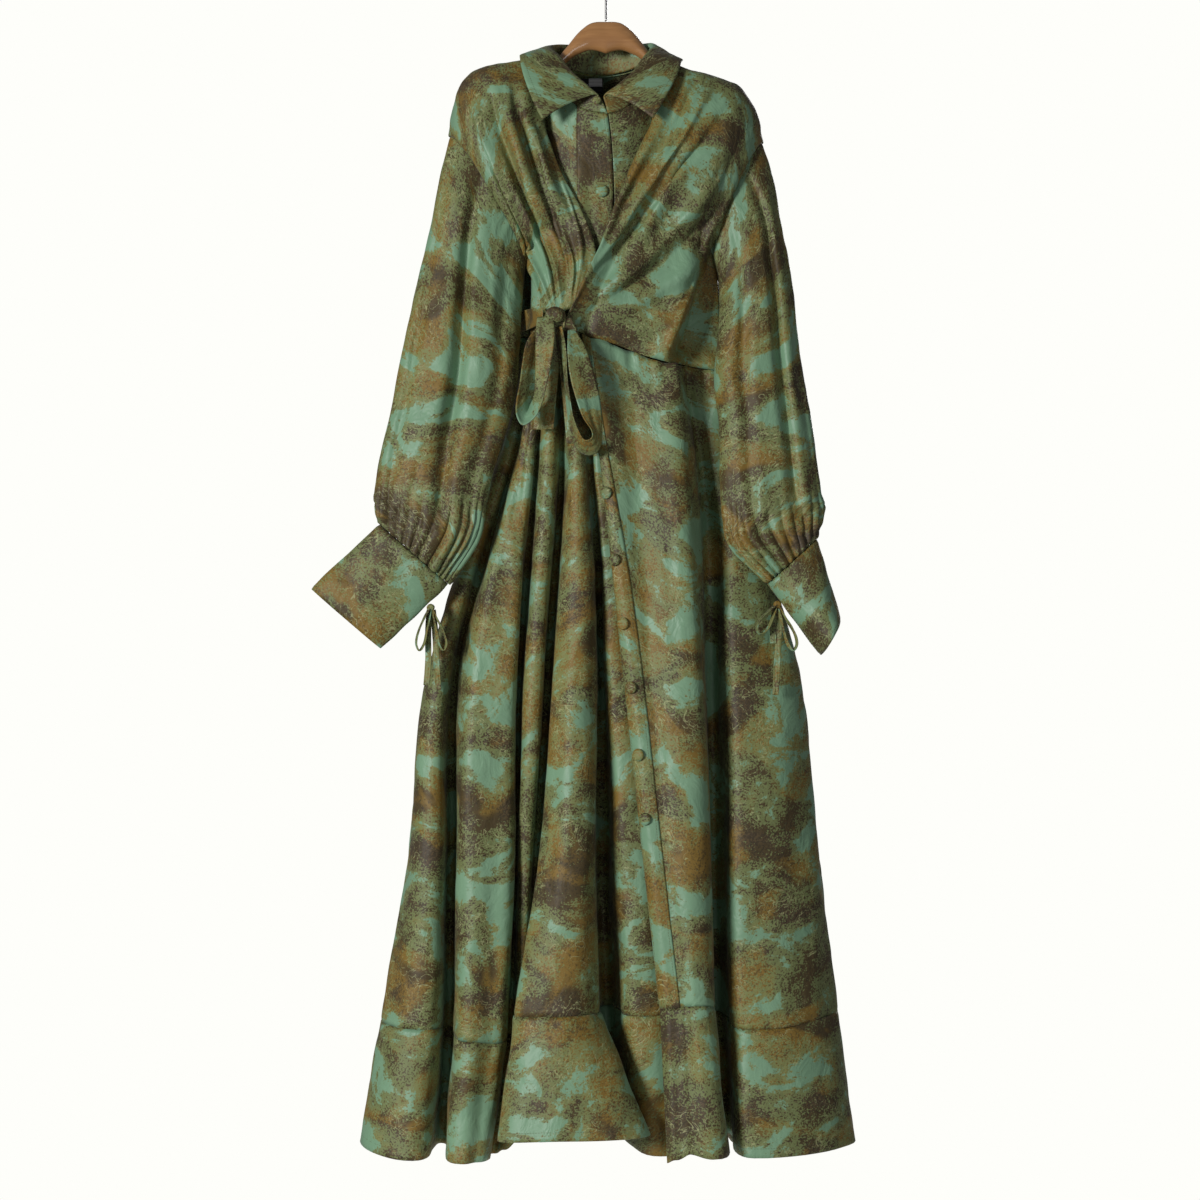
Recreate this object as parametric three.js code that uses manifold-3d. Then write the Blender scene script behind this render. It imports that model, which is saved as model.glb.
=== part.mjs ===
// Long wrap dress of mottled satin jacquard, hanging on a wooden coat hanger.
// Millimetres, +Z up, the dress faces -Y. The origin is the inside top of the hanger's hook.
import * as THREE from "three";
import { mergeVertices } from "three/addons/utils/BufferGeometryUtils.js";
import Module from "manifold-3d";

// Cloth and seams
const CLOTH = 1.6;
const BAND = 2.2;
const SEAM_GAP = 0.4;
const LAYER_GAP = 0.5;
const WAIST_GAP = 1.2;
const SHOULDER_GAP = 1.25;
const JOIN_TOLERANCE = 0.02;

// Levels of the skirt, as shares of the way from the waist seam to the flounce seam
const LEVELS = [0, 0.176, 0.469, 0.75, 1];
const SEAM_LEVEL = 4;
const HEM_LEVEL = 5;
// Cells between fold lines and down the skirt
const FOLD_CELLS = 3;
const SKIRT_ROWS = 9;
// How far the cloth runs straight on at a fold line before it turns, as a share of the span
const ROUNDNESS = { side: 0.9, crest: 1.25, valley: 0.65, flank: 0.8, edge: 0.5, end: 0.5 };

// Fold lines of the front left skirt, side seam to centre front.
// x and y are at the five levels and at the hem; top, seam and hem are heights.
const SKIRT_LEFT = [
  { kind: "side", x: [-100, -140, -231, -260, -297, -325], y: [-1, -1, -1, -1, -1, -1], top: -480, seam: -1382, hem: -1540 },
  { kind: "crest", x: [-93, -130, -212, -228, -236, -250], y: [-14, -18, -36, -52, -64, -78], top: -479, seam: -1385, hem: -1552 },
  { kind: "valley", x: [-87, -120, -196, -204, -207, -218], y: [-17, -12, 0, 4, 6, 2], top: -478, seam: -1392, hem: -1545 },
  { kind: "crest", x: [-80, -107, -164, -171, -174, -186], y: [-28, -40, -62, -74, -84, -93], top: -477, seam: -1398, hem: -1553 },
  { kind: "crest", x: [-76.5, -100, -126, -134, -143, -166], y: [-31, -45, -60, -66, -72, -82], top: -476, seam: -1402, hem: -1553 },
  { kind: "valley", x: [-73, -93, -113, -117, -125, -147], y: [-34, -26, -10, -8, -16, -28], top: -476, seam: -1400, hem: -1553 },
  { kind: "crest", x: [-67, -74, -90, -103, -112, -132], y: [-42, -54, -62, -50, -40, -42], top: -475, seam: -1395, hem: -1545 },
  { kind: "valley", x: [-60, -59, -75, -92, -101, -118], y: [-42, -28, -14, -18, -30, -40], top: -475, seam: -1380, hem: -1535 },
  { kind: "flank", x: [-55, -51, -66, -84, -118, -139], y: [-46, -50, -66, -80, -94, -116], top: -475, seam: -1362, hem: -1518 },
  { kind: "crest", x: [-47, -38, -34, -44, -59, -46], y: [-52, -70, -96, -116, -128, -152], top: -475, seam: -1358, hem: -1512 },
  { kind: "flank", x: [-38, -27, -12, -16, -8, 56], y: [-50, -58, -66, -74, -84, -118], top: -475, seam: -1358, hem: -1510 },
  { kind: "valley", x: [-30, -20, -5, -4, 1, 8], y: [-46, -40, -22, -8, -2, -10], top: -476, seam: -1362, hem: -1530 },
  { kind: "crest", x: [-18, -12, 10, 28, 44, 70], y: [-48, -54, -66, -78, -84, -84], top: -478, seam: -1365, hem: -1545 },
  { kind: "end", x: [-5, 6, 44, 75, 94, 104], y: [-47, -52, -62, -70, -74, -76], top: -480, seam: -1362, hem: -1545 },
];

// Fold lines of the front right skirt, buttoned edge to side seam
const SKIRT_RIGHT = [
  { kind: "edge", x: [-31, -9, 19, 45, 69, 78], y: [-57, -64, -78, -92, -100, -106], top: -482, seam: -1352, hem: -1549 },
  { kind: "crest", x: [-18, 2, 33, 60, 83, 90], y: [-60, -69, -86, -102, -110, -116], top: -488, seam: -1350, hem: -1543 },
  { kind: "valley", x: [29, 40, 54, 79, 99, 107], y: [-52, -60, -84, -102, -112, -120], top: -503, seam: -1348, hem: -1535 },
  { kind: "crest", x: [80, 92, 101, 109, 114, 136], y: [-52, -74, -98, -112, -120, -126], top: -519, seam: -1346, hem: -1540 },
  { kind: "valley", x: [104, 130, 139, 144, 147, 158], y: [-14, -8, -3, -2, -2, -4], top: -520, seam: -1370, hem: -1530 },
  { kind: "crest", x: [128, 156, 172, 179, 184, 190], y: [-10, -20, -52, -72, -84, -96], top: -524, seam: -1382, hem: -1545 },
  { kind: "side", x: [150, 182, 255, 280, 306, 329], y: [-1, -1, -1, -1, -1, -1], top: -528, seam: -1368, hem: -1539 },
];

// Fold lines of the back skirt, left side seam to right side seam
const SKIRT_BACK = [
  { kind: "side", x: [-100, -140, -231, -260, -297, -325], y: [1, 1, 1, 1, 1, 1], top: -480, seam: -1382, hem: -1540 },
  { kind: "crest", x: [-108, -140, -190, -209, -232, -256], y: [16, 28, 48, 62, 74, 86], top: -483, seam: -1378, hem: -1548 },
  { kind: "valley", x: [-71, -92, -145, -164, -180, -199], y: [30, 26, 14, 6, 2, 2], top: -486, seam: -1380, hem: -1546 },
  { kind: "crest", x: [-55, -71, -100, -114, -127, -143], y: [40, 56, 80, 96, 112, 126], top: -489, seam: -1372, hem: -1552 },
  { kind: "valley", x: [-37, -42, -61, -66, -74, -87], y: [44, 42, 36, 28, 22, 20], top: -493, seam: -1376, hem: -1548 },
  { kind: "crest", x: [-16, -13, -13, -11, -8, -5], y: [46, 62, 86, 104, 118, 132], top: -498, seam: -1370, hem: -1553 },
  { kind: "valley", x: [8, 21, 32, 40, 53, 66], y: [44, 44, 38, 30, 24, 20], top: -503, seam: -1375, hem: -1548 },
  { kind: "crest", x: [32, 53, 77, 92, 108, 124], y: [46, 60, 84, 102, 116, 128], top: -508, seam: -1371, hem: -1551 },
  { kind: "valley", x: [65, 92, 129, 145, 164, 180], y: [38, 30, 18, 8, 4, 4], top: -515, seam: -1378, hem: -1546 },
  { kind: "crest", x: [112, 142, 193, 216, 238, 256], y: [26, 36, 54, 68, 80, 92], top: -522, seam: -1376, hem: -1548 },
  { kind: "side", x: [150, 182, 255, 280, 306, 329], y: [1, 1, 1, 1, 1, 1], top: -528, seam: -1368, hem: -1539 },
];

// Shoulder seams, neck side to sleeve head, and the neck seam from the centre front round to the centre back
const SHOULDER_LEFT = [[-76, 0, -114.5], [-100, 0, -116], [-141, 0, -121], [-173, 0, -131], [-190, 0, -146], [-201, 0, -176], [-208.2, 0, -215]];
const SHOULDER_RIGHT = [[66, 0, -109.5], [82, 0, -116], [120, 0, -130], [156, 0, -141], [178, 0, -152], [195, 0, -178], [208.2, 0, -224]];
const NECK_LEFT = [[2, -50, -194], [-31, -46, -187], [-58, -34, -164], [-69, -17, -137], [-72, -10, -116], [-72, 0, -112.5], [-70, 11, -114], [-59, 24, -118], [-37, 34, -124], [-8, 38, -127]];
const NECK_RIGHT = [[2, -50, -194], [24, -46, -187], [48, -34, -162], [59, -17, -135], [62, -10, -108], [62, 0, -103.5], [61, 11, -104.5], [48, 25, -116], [22, 34, -124], [-8, 38, -127]];
const NECK_SIDE = 5;
const CENTRE_BACK = -8;

// Armholes: top and bottom points, half depth to front and back, and how far the seam bows towards the neck
const ARMHOLE_LEFT = { top: [-209, 0, -215], bottom: [-108, 0, -386], depth: 30, bow: [9, 0, 5] };
const ARMHOLE_RIGHT = { top: [209, 0, -224], bottom: [147, 0, -382], depth: 30, bow: [-14, 0, -2] };

// Wrapped fronts: front edges, outer edges and the folds that run to the knot
const OVERLAY_LEFT_EDGE = [[-76, -0.5, -114.5], [-77, -11, -118], [-78, -18, -134], [-80, -31, -163], [-80, -41, -203], [-57, -50, -270], [-34, -55, -314], [-16, -59, -360], [-13, -62, -393], [-29, -66, -441]];
const OVERLAY_LEFT_TIE = [[-94, -36, -416], [-80, -58, -449], [-71, -68, -461]];
const OVERLAY_RIGHT_EDGE = [[66, -0.5, -109.5], [67, -11, -114], [68, -18, -132], [66, -31, -163], [60, -42, -203], [40, -53, -245], [18, -61, -302], [-1, -66, -355], [-16, -70, -387], [-35, -73, -433], [-48, -75, -460]];
const OVERLAY_RIGHT_SIDE = [[149, -3, -432], [150, -2, -479]];
const OVERLAY_RIGHT_KNOT = [-56, -74, -474];
const SHOULDER_BULGE = 20;
// Cells along a shoulder seam and across the back, and the share of the back's width that a shoulder takes
const SHOULDER_CELLS = 12;
const BACK_CELLS = 30;
const BACK_SHOULDER = SHOULDER_CELLS / BACK_CELLS;
const ARMPIT_ROW = 0.54;
// Side seam of the back just under the right armhole
const UNDER_ARM_RIGHT = [143.5, 1.25, -396];
const FOLDS_LEFT = [
  { from: 0.16, to: 0.22, high: 6, wide: 0.06, begin: 0.1, end: 0.95 },
  { from: 0.38, to: 0.45, high: 8, wide: 0.07, begin: 0.05, end: 0.95 },
  { from: 0.62, to: 0.72, high: 6, wide: 0.07, begin: 0.1, end: 0.9 },
];
const FOLDS_RIGHT = [
  { from: 0.14, to: 0.03, high: 5, wide: 0.04, begin: 0.15, end: 0.98 },
  { from: 0.3, to: 0.08, high: 7, wide: 0.05, begin: 0.15, end: 0.95 },
  { from: 0.52, to: 0.2, high: 7, wide: 0.06, begin: 0.2, end: 0.9 },
  { from: 1.17, to: 0.6, high: 10, wide: 0.05, begin: 0.4, end: 1 },
];
// Right front beyond its outermost fold, where it falls back: line of the turn, its width and depth
const RECESS = { from: 1.19, to: 0.61, wide: 0.06, depth: -12, begin: 0.4, full: 0.55, fade: 0.9 };

// Fronts under the wrap: centre front line and the edges that lie under the wrapped fronts
const CENTRE_FRONT = [[2, -50, -195], [6, -50, -229], [9, -49, -287], [8, -49, -360], [0, -48, -438], [-5, -47, -480]];
const INNER_SIDE_LEFT = [[-69, -14, -134], [-84, -17, -184], [-100, -14, -277], [-103, -9, -356], [-99, -5, -400], [-99, -3, -479]];
const INNER_SIDE_RIGHT = [[59, -14, -132], [70, -17, -184], [80, -20, -277], [82, -24, -356], [78, -30, -430], [66, -42, -498]];
const FRONT_CELLS = 8;
// Strips: cells across, width of the skirt's, and share of the front that the bodice's takes at the neck and the waist
const PLACKET_CELLS = 3;
const SKIRT_PLACKET_WIDTH = 25;
const BODICE_PLACKET_SHARE = { neck: 0.4, waist: 0.26 };

// Collar: fold line and outer edge of the leaf, centre front left round the back to the centre front right
const COLLAR_ROLL = 5;
const COLLAR_LIFT = 1.2;
const COLLAR_FOLD_SHARE = 0.04;
const STAND_INSET = 1.4;
const STAND_DROP = 1.5;
const STAND_ENDS = { around: 0.006, up: 0.02 };
const COLLAR_FOLD = [[-9, -56, -170], [-24, -53, -158], [-42, -43, -141], [-61, -24, -115], [-72, 0, -98], [-60, 20, -91], [-36, 34, -88], [-8, 38, -87], [20, 34, -88], [46, 20, -90], [60, 0, -94], [50, -24, -115], [32, -43, -141], [13, -53, -158], [-3, -56, -170]];
const COLLAR_EDGE = [[-83, -72, -207], [-92, -66, -188], [-101, -57, -165], [-109, -43, -139], [-113, -22, -116], [-112, 0, -110], [-96, 38, -112], [-59, 58, -123], [-8, 64, -129], [43, 58, -123], [84, 38, -114], [101, 0, -116], [99, -22, -121], [93, -43, -143], [83, -57, -165], [72, -66, -186], [61, -72, -205]];

// Sleeves: outermost and innermost points of each ring seen from the front, half depth, gathers' height
const SLEEVE_LEFT = [
  { outer: [-219, -4, -267], inner: [-110, -6, -413], half: 33, gather: 0 },
  { outer: [-232, -10, -341], inner: [-113, -16, -453], half: 34, gather: 0 },
  { outer: [-247, -18, -407], inner: [-114, -27, -493], half: 34, gather: 0 },
  { outer: [-263, -28, -487], inner: [-117, -38, -546], half: 32, gather: 0 },
  { outer: [-277, -38, -566], inner: [-130, -48, -599], half: 30, gather: 0 },
  { outer: [-291, -46, -632], inner: [-145, -54, -648], half: 28, gather: 0 },
  { outer: [-298, -51, -678], inner: [-156, -58, -698], half: 27, gather: 0.3 },
  { outer: [-299, -54, -706], inner: [-166, -60, -748], half: 25, gather: 2 },
  { outer: [-294, -56, -729], inner: [-204, -60, -807], half: 18, gather: 2.6 },
];
const SLEEVE_RIGHT = [
  { outer: [222, -4, -276], inner: [154, -6, -410], half: 33, gather: 0 },
  { outer: [234, -10, -348], inner: [154, -16, -444], half: 34, gather: 0 },
  { outer: [244, -18, -414], inner: [151, -27, -487], half: 34, gather: 0 },
  { outer: [253, -28, -490], inner: [147, -38, -540], half: 32, gather: 0 },
  { outer: [263, -38, -566], inner: [147, -48, -599], half: 30, gather: 0 },
  { outer: [272, -46, -629], inner: [148, -54, -658], half: 28, gather: 0 },
  { outer: [280, -51, -684], inner: [152, -58, -717], half: 27, gather: 0.3 },
  { outer: [282, -54, -712], inner: [162, -60, -758], half: 26, gather: 2 },
  { outer: [273, -56, -748], inner: [209, -60, -806], half: 26, gather: 2.6 },
];
const GATHERS = 12;
// Long folds of a sleeve: turn is the angle from the outer edge, positive on the front, at the head and at the cuff
const SLEEVE_FOLDS = [
  { from: 66, to: 116, deep: 11, wide: 11 },
  { from: 30, to: 42, deep: 5, wide: 10 },
  { from: -70, to: -105, deep: 10, wide: 12 },
  { from: -130, to: -140, deep: 5, wide: 10 },
];
const CUFF_LEFT = {
  seam: { outer: [-294.6, -56, -729.6], inner: [-204.6, -60, -807.6], half: 18 },
  opening: { outer: [-383, -56, -813], inner: [-292, -60, -891], half: 14 },
  slit: 6,
};
const CUFF_RIGHT = {
  seam: { outer: [273.4, -56, -749.0], inner: [209.4, -60, -807.0], half: 26 },
  opening: { outer: [304, -62, -854], inner: [278, -62, -899], half: 42 },
  slit: 6,
};

// Waist tie: belt round the back, knot, loops by their front and back rims, and ends by their middle line;
// turn is the angle of an end's width from +X
const TIE_WIDTH = 30;
const BELT_FRONT = [[-81.5, -75.7, -461], [-90, -61, -460], [-100, -34, -460], [-106.5, -14, -460], [-115, 1, -460], [-114, 14, -460], [-108, 23, -460]];
const BELT_HEIGHT = -460;
const BELT_GAP = 1.6;
const BELT_START = 4;
const BELT_FRONT_CELLS = 8;
const BELT_PINCH = 0.25;
const KNOT = { at: [-66, -83.5, -460], size: [13, 8, 11] };
const LOOP_LEFT = [
  { near: [-68.4, -86, -460.6], far: [-89, -86, -463.2] },
  { near: [-66.3, -98, -487.6], far: [-90.7, -90, -488.1] },
  { near: [-70, -103, -520.1], far: [-90.6, -93, -519.2] },
  { near: [-77, -106, -555], far: [-91.4, -94, -547.6] },
  { near: [-83.4, -107, -579.3], far: [-92.7, -93, -565.5] },
  { near: [-92.4, -107, -594.7], far: [-96.7, -89, -574.2] },
  { near: [-106.5, -106, -603.6], far: [-98.1, -84, -576.4] },
  { near: [-114.2, -104, -593.2], far: [-95.6, -81, -572.3] },
  { near: [-115.5, -102, -576.4], far: [-93, -80, -564.5] },
  { near: [-110.5, -99, -546.7], far: [-87.9, -80, -542.5] },
  { near: [-107.4, -96, -522.1], far: [-85.3, -79, -519.2] },
  { near: [-101.7, -92, -494.7], far: [-84, -79, -494.7] },
  { near: [-85.1, -87, -471], far: [-76.2, -81, -473] },
];
const LOOP_RIGHT = [
  { near: [-56.8, -88, -475], far: [-63.4, -80, -476.8] },
  { near: [-51.5, -96, -506.7], far: [-60.2, -76, -504.8] },
  { near: [-50.2, -100, -539.1], far: [-56.3, -75, -533.1] },
  { near: [-47, -103, -565], far: [-53.1, -76, -559] },
  { near: [-42.5, -104, -591.9], far: [-50.5, -78, -585] },
  { near: [-34.8, -104, -612.4], far: [-45.3, -80, -610.9] },
  { near: [-27.1, -104, -622.7], far: [-36.3, -82, -634.2] },
  { near: [-18.1, -105, -618.9], far: [-18.2, -84, -640.8] },
  { near: [-19.4, -106, -608.7], far: [-6.6, -88, -628.1] },
  { near: [-29.7, -106, -593.4], far: [-5.3, -91, -601.3] },
  { near: [-38, -104, -571.4], far: [-7.9, -93, -570.6] },
  { near: [-45.7, -102, -543.1], far: [-15.6, -94, -537.3] },
  { near: [-49.6, -98, -510.7], far: [-25.9, -91, -503.6] },
  { near: [-49.1, -89, -480.3], far: [-41.4, -84, -478.5] },
];
const TAIL_LEFT = [
  { at: [-67, -80, -464], turn: 4 },
  { at: [-71, -76, -490], turn: 4 },
  { at: [-77, -73, -540], turn: 6 },
  { at: [-83, -73, -607], turn: 8 },
];
const TAIL_RIGHT = [
  { at: [-60, -81, -464], turn: 0 },
  { at: [-50, -77, -488], turn: 0 },
  { at: [-42, -78, -560], turn: 4 },
  { at: [-36, -82, -626], turn: 6 },
];

// Ties at the cuffs: narrow strips with a knot, two loops and two free ends
const CUFF_TIE_WIDTH = 8;
const CUFF_TIE_LEFT = {
  knot: { at: [-227.6, -61, -837.3], size: [5, 4.5, 5] },
  loops: [
    [[-229, -62, -839], [-236, -66, -852], [-243, -68, -868], [-246, -68, -884], [-242, -67, -893], [-236, -66, -884], [-232, -65, -864], [-228, -62, -842]],
    [[-226, -62, -839], [-219, -66, -852], [-211, -68, -868], [-207, -68, -884], [-211, -67, -893], [-217, -66, -884], [-221, -65, -864], [-226, -62, -842]],
  ],
  tails: [
    [[-229, -60, -840], [-231, -59, -868], [-231, -59, -906], [-233, -59, -938]],
    [[-225, -60, -840], [-222, -59, -868], [-220, -59, -910], [-218, -59, -944]],
  ],
};
const CUFF_TIE_RIGHT = {
  knot: { at: [222.5, -61, -833.2], size: [5, 4.5, 5] },
  loops: [
    [[221, -62, -834], [212, -66, -841], [201, -69, -851], [195, -70, -862], [198, -70, -871], [207, -69, -867], [214, -66, -855], [220, -62, -838]],
    [[223, -62, -835], [232, -70, -850], [242, -78, -868], [246, -82, -884], [241, -82, -893], [234, -79, -884], [228, -72, -862], [223, -62, -839]],
  ],
  tails: [
    [[221, -61, -836], [217, -60, -856], [217, -60, -884]],
    [[223, -60, -836], [224, -60, -870], [222, -60, -912], [220, -60, -951]],
  ],
};

// Covered buttons: outline as shares of radius and height, and the share of the way down the strip of each
const BUTTON = {
  radius: 8.2,
  high: 4.4,
  clear: 0.9,
  sides: 12,
  profile: [[0, 0], [0.72, 0], [1, 0.35], [1, 0.62], [0.8, 0.9], [0.45, 1], [0, 1.04]],
};
const BODICE_BUTTON_AT = 0.36;
const SKIRT_BUTTONS_AT = [0.235, 0.335, 0.43, 0.525, 0.625, 0.72];

// Neck label with its blank size tab, inside the back neck
const LABEL = { x: -23, y: 40.7, top: -131, wide: 38, high: 19, thick: 0.8 };
const TAB = { x: -14, y: 39.7, top: -131, wide: 18, high: 11, thick: 0.5 };

// Hanger: half of the top line from the middle to the neck seam, section heights and depths
const HANGER_NECK = [[0, -64], [14, -64.4], [24, -68], [38, -80], [50, -95], [58, -104.5], [66, -112.5], [76, -118]];
const HANGER_REACH = 182;
const HANGER_RINGS = 22;
const HANGER_SIDES = 10;
const HANGER_HIGH = [[0, 42], [30, 32], [58, 19], [100, 24], [150, 22], [182, 12]];
const HANGER_DEEP = [[0, 9], [30, 9], [58, 8], [80, 8], [120, 11], [150, 12], [182, 7]];
const HANGER_CLEAR = 1.6;
const HOOK = { wire: 1.5, radius: 17.5, straight: -34, sweep: 215, sides: 8, steps: 26 };

const SATIN = { color: 0x6b6a48, roughness: 0.55, metalness: 0 };
const WOOD = { color: 0xa9682c, roughness: 0.3, metalness: 0 };
const STEEL = { color: 0xc4c4c2, roughness: 0.25, metalness: 1 };
const BLACK = { color: 0x17171a, roughness: 0.8, metalness: 0 };
const WHITE = { color: 0xe6e8ec, roughness: 0.8, metalness: 0 };

const wasm = await Module();
wasm.setup();
const dress = new THREE.Group();

// Vectors as three numbers
const plus = (a, b, k = 1) => [a[0] + b[0] * k, a[1] + b[1] * k, a[2] + b[2] * k];
const minus = (a, b) => plus(a, b, -1);
const mix = (a, b, t) => plus(a, minus(b, a), t);
const size = (a) => Math.hypot(a[0], a[1], a[2]);
const unit = (a) => plus([0, 0, 0], a, 1 / (size(a) || 1));
const cross = (a, b) => [
  a[1] * b[2] - a[2] * b[1],
  a[2] * b[0] - a[0] * b[2],
  a[0] * b[1] - a[1] * b[0],
];
const radians = (degrees) => (degrees * Math.PI) / 180;

// Cubic between two values with the slopes at both ends
function hermite(a, b, slopeA, slopeB, t) {
  const t2 = t * t;
  const t3 = t2 * t;
  return a * (2 * t3 - 3 * t2 + 1) + b * (3 * t2 - 2 * t3) + slopeA * (t3 - 2 * t2 + t) + slopeB * (t3 - t2);
}

// Smooth value at t through values given at rising knots
function smooth(knots, values, t) {
  const last = values.length - 1;
  let i = 0;
  while (i < last - 1 && t > knots[i + 1]) i += 1;
  const span = knots[i + 1] - knots[i];
  const slope = (k) => {
    const before = Math.max(k - 1, 0);
    const after = Math.min(k + 1, last);
    return ((values[after] - values[before]) / (knots[after] - knots[before])) * span;
  };
  return hermite(values[i], values[i + 1], slope(i), slope(i + 1), (t - knots[i]) / span);
}

// Curve through points, run from 0 to 1 by the length of its chords
function curve(points) {
  const knots = [0];
  for (let i = 1; i < points.length; i += 1) knots.push(knots[i - 1] + size(minus(points[i], points[i - 1])));
  const whole = knots[knots.length - 1];
  const axes = [0, 1, 2].map((k) => points.map((p) => p[k]));
  return (t) => axes.map((values) => smooth(knots, values, t * whole));
}

// Surface between four edge curves: top and bottom run along u, near and far run along v
function patch(top, bottom, near, far) {
  const corners = [top(0), top(1), bottom(0), bottom(1)];
  return (u, v) => {
    const across = mix(near(v), far(v), u);
    const down = mix(top(u), bottom(u), v);
    const flat = mix(mix(corners[0], corners[1], u), mix(corners[2], corners[3], u), v);
    return minus(plus(across, down), flat);
  };
}

// Even shares from 0 to 1, drawn towards 0 by a power over 1
function shares(count, power = 1) {
  return Array.from({ length: count + 1 }, (_, i) => (i / count) ** power);
}

// Points of a surface over shares of u and v
function grid(surface, us, vs) {
  return vs.map((v) => us.map((u) => surface(u, v)));
}

// Unit normals of a grid, from the differences between neighbours
function normals(points, closed) {
  const rows = points.length;
  const cols = points[0].length;
  return points.map((row, j) =>
    row.map((_, i) => {
      const left = closed ? (i + cols - 1) % cols : Math.max(i - 1, 0);
      const right = closed ? (i + 1) % cols : Math.min(i + 1, cols - 1);
      const along = minus(row[right], row[left]);
      const down = minus(points[Math.min(j + 1, rows - 1)][i], points[Math.max(j - 1, 0)][i]);
      return unit(cross(along, down));
    }),
  );
}

// Moves each point of a grid out along its normal
function offset(points, distance, closed = false) {
  const out = normals(points, closed);
  return points.map((row, j) => row.map((p, i) => plus(p, out[j][i], distance)));
}

// Closed solid of a wall centred on a grid of points; a closed grid joins its last column to its first
function wall(points, thickness, closed = false) {
  const front = offset(points, thickness / 2, closed);
  const back = offset(points, -thickness / 2, closed);
  const rows = points.length;
  const cols = points[0].length;
  const spans = closed ? cols : cols - 1;
  const positions = [...front.flat(), ...back.flat()].flat();
  const faces = [];
  const at = (side, j, i) => side * rows * cols + j * cols + (i % cols);
  const quad = (a, b, c, d) => faces.push(a, b, c, a, c, d);
  for (let j = 0; j < rows - 1; j += 1) {
    for (let i = 0; i < spans; i += 1) {
      quad(at(0, j, i), at(0, j, i + 1), at(0, j + 1, i + 1), at(0, j + 1, i));
      quad(at(1, j, i), at(1, j + 1, i), at(1, j + 1, i + 1), at(1, j, i + 1));
    }
  }
  for (let i = 0; i < spans; i += 1) {
    quad(at(0, 0, i), at(1, 0, i), at(1, 0, i + 1), at(0, 0, i + 1));
    quad(at(0, rows - 1, i), at(0, rows - 1, i + 1), at(1, rows - 1, i + 1), at(1, rows - 1, i));
  }
  if (!closed) {
    for (let j = 0; j < rows - 1; j += 1) {
      quad(at(0, j, 0), at(0, j + 1, 0), at(1, j + 1, 0), at(1, j, 0));
      quad(at(0, j, cols - 1), at(1, j, cols - 1), at(1, j + 1, cols - 1), at(0, j + 1, cols - 1));
    }
  }
  return facing(positions, faces);
}

// Geometry of a closed body with its faces turned outwards
function facing(positions, faces) {
  const p = (i) => positions.slice(3 * i, 3 * i + 3);
  let volume = 0;
  for (let f = 0; f < faces.length; f += 3) {
    const turned = cross(p(faces[f + 1]), p(faces[f + 2]));
    const first = p(faces[f]);
    volume += first[0] * turned[0] + first[1] * turned[1] + first[2] * turned[2];
  }
  if (volume < 0) {
    for (let f = 0; f < faces.length; f += 3) [faces[f + 1], faces[f + 2]] = [faces[f + 2], faces[f + 1]];
  }
  const geometry = new THREE.BufferGeometry();
  geometry.setAttribute("position", new THREE.Float32BufferAttribute(positions, 3));
  geometry.setIndex(faces);
  return geometry;
}

// Solid through closed rings of points, with a fan on each end ring
function loft(rings) {
  const cols = rings[0].length;
  const positions = rings.flat(2);
  const faces = [];
  for (let j = 0; j < rings.length - 1; j += 1) {
    for (let i = 0; i < cols; i += 1) {
      const a = j * cols + i;
      const b = j * cols + ((i + 1) % cols);
      faces.push(a, b, b + cols, a, b + cols, a + cols);
    }
  }
  [0, rings.length - 1].forEach((j) => {
    const centre = positions.length / 3;
    const sum = rings[j].reduce((total, p) => plus(total, p), [0, 0, 0]);
    positions.push(...sum.map((value) => value / cols));
    for (let i = 0; i < cols; i += 1) {
      const a = j * cols + i;
      const b = j * cols + ((i + 1) % cols);
      if (j === 0) faces.push(centre, b, a);
      else faces.push(centre, a, b);
    }
  });
  return facing(positions, faces);
}

// Adds a named piece in its own material
function piece(name, geometry, look = SATIN) {
  geometry.computeVertexNormals();
  const mesh = new THREE.Mesh(geometry, new THREE.MeshStandardMaterial(look));
  mesh.name = name;
  dress.add(mesh);
}

// Solid of a geometry for joining
function solid(geometry) {
  const bare = mergeVertices(new THREE.BufferGeometry()
    .setAttribute("position", geometry.getAttribute("position"))
    .setIndex(geometry.getIndex()), 1e-4);
  const mesh = { numProp: 3, vertProperties: bare.attributes.position.array, triVerts: new Uint32Array(bare.index.array) };
  return new wasm.Manifold(new wasm.Mesh(mesh));
}

// One geometry from several that overlap
function join(geometries) {
  const joined = geometries.map(solid).reduce((all, next) => all.add(next)).simplify(JOIN_TOLERANCE).getMesh();
  const geometry = new THREE.BufferGeometry();
  geometry.setAttribute("position", new THREE.BufferAttribute(joined.vertProperties, 3));
  geometry.setIndex(new THREE.BufferAttribute(joined.triVerts, 1));
  return geometry;
}

// Point of a fold line at a share of the way from the waist seam (0) to the flounce seam (1)
function foldAt(line, v) {
  const x = smooth(LEVELS, line.x.slice(0, HEM_LEVEL), v);
  const y = smooth(LEVELS, line.y.slice(0, HEM_LEVEL), v);
  return [x, y, line.top + (line.seam - line.top) * v];
}

// Point of a fold line at a share of the way from the flounce seam (0) to the hem (1)
function flounceAt(line, w) {
  const seam = [line.x[SEAM_LEVEL], line.y[SEAM_LEVEL], line.seam];
  const hem = [line.x[HEM_LEVEL], line.y[HEM_LEVEL], line.hem];
  return mix(seam, hem, w);
}

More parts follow.
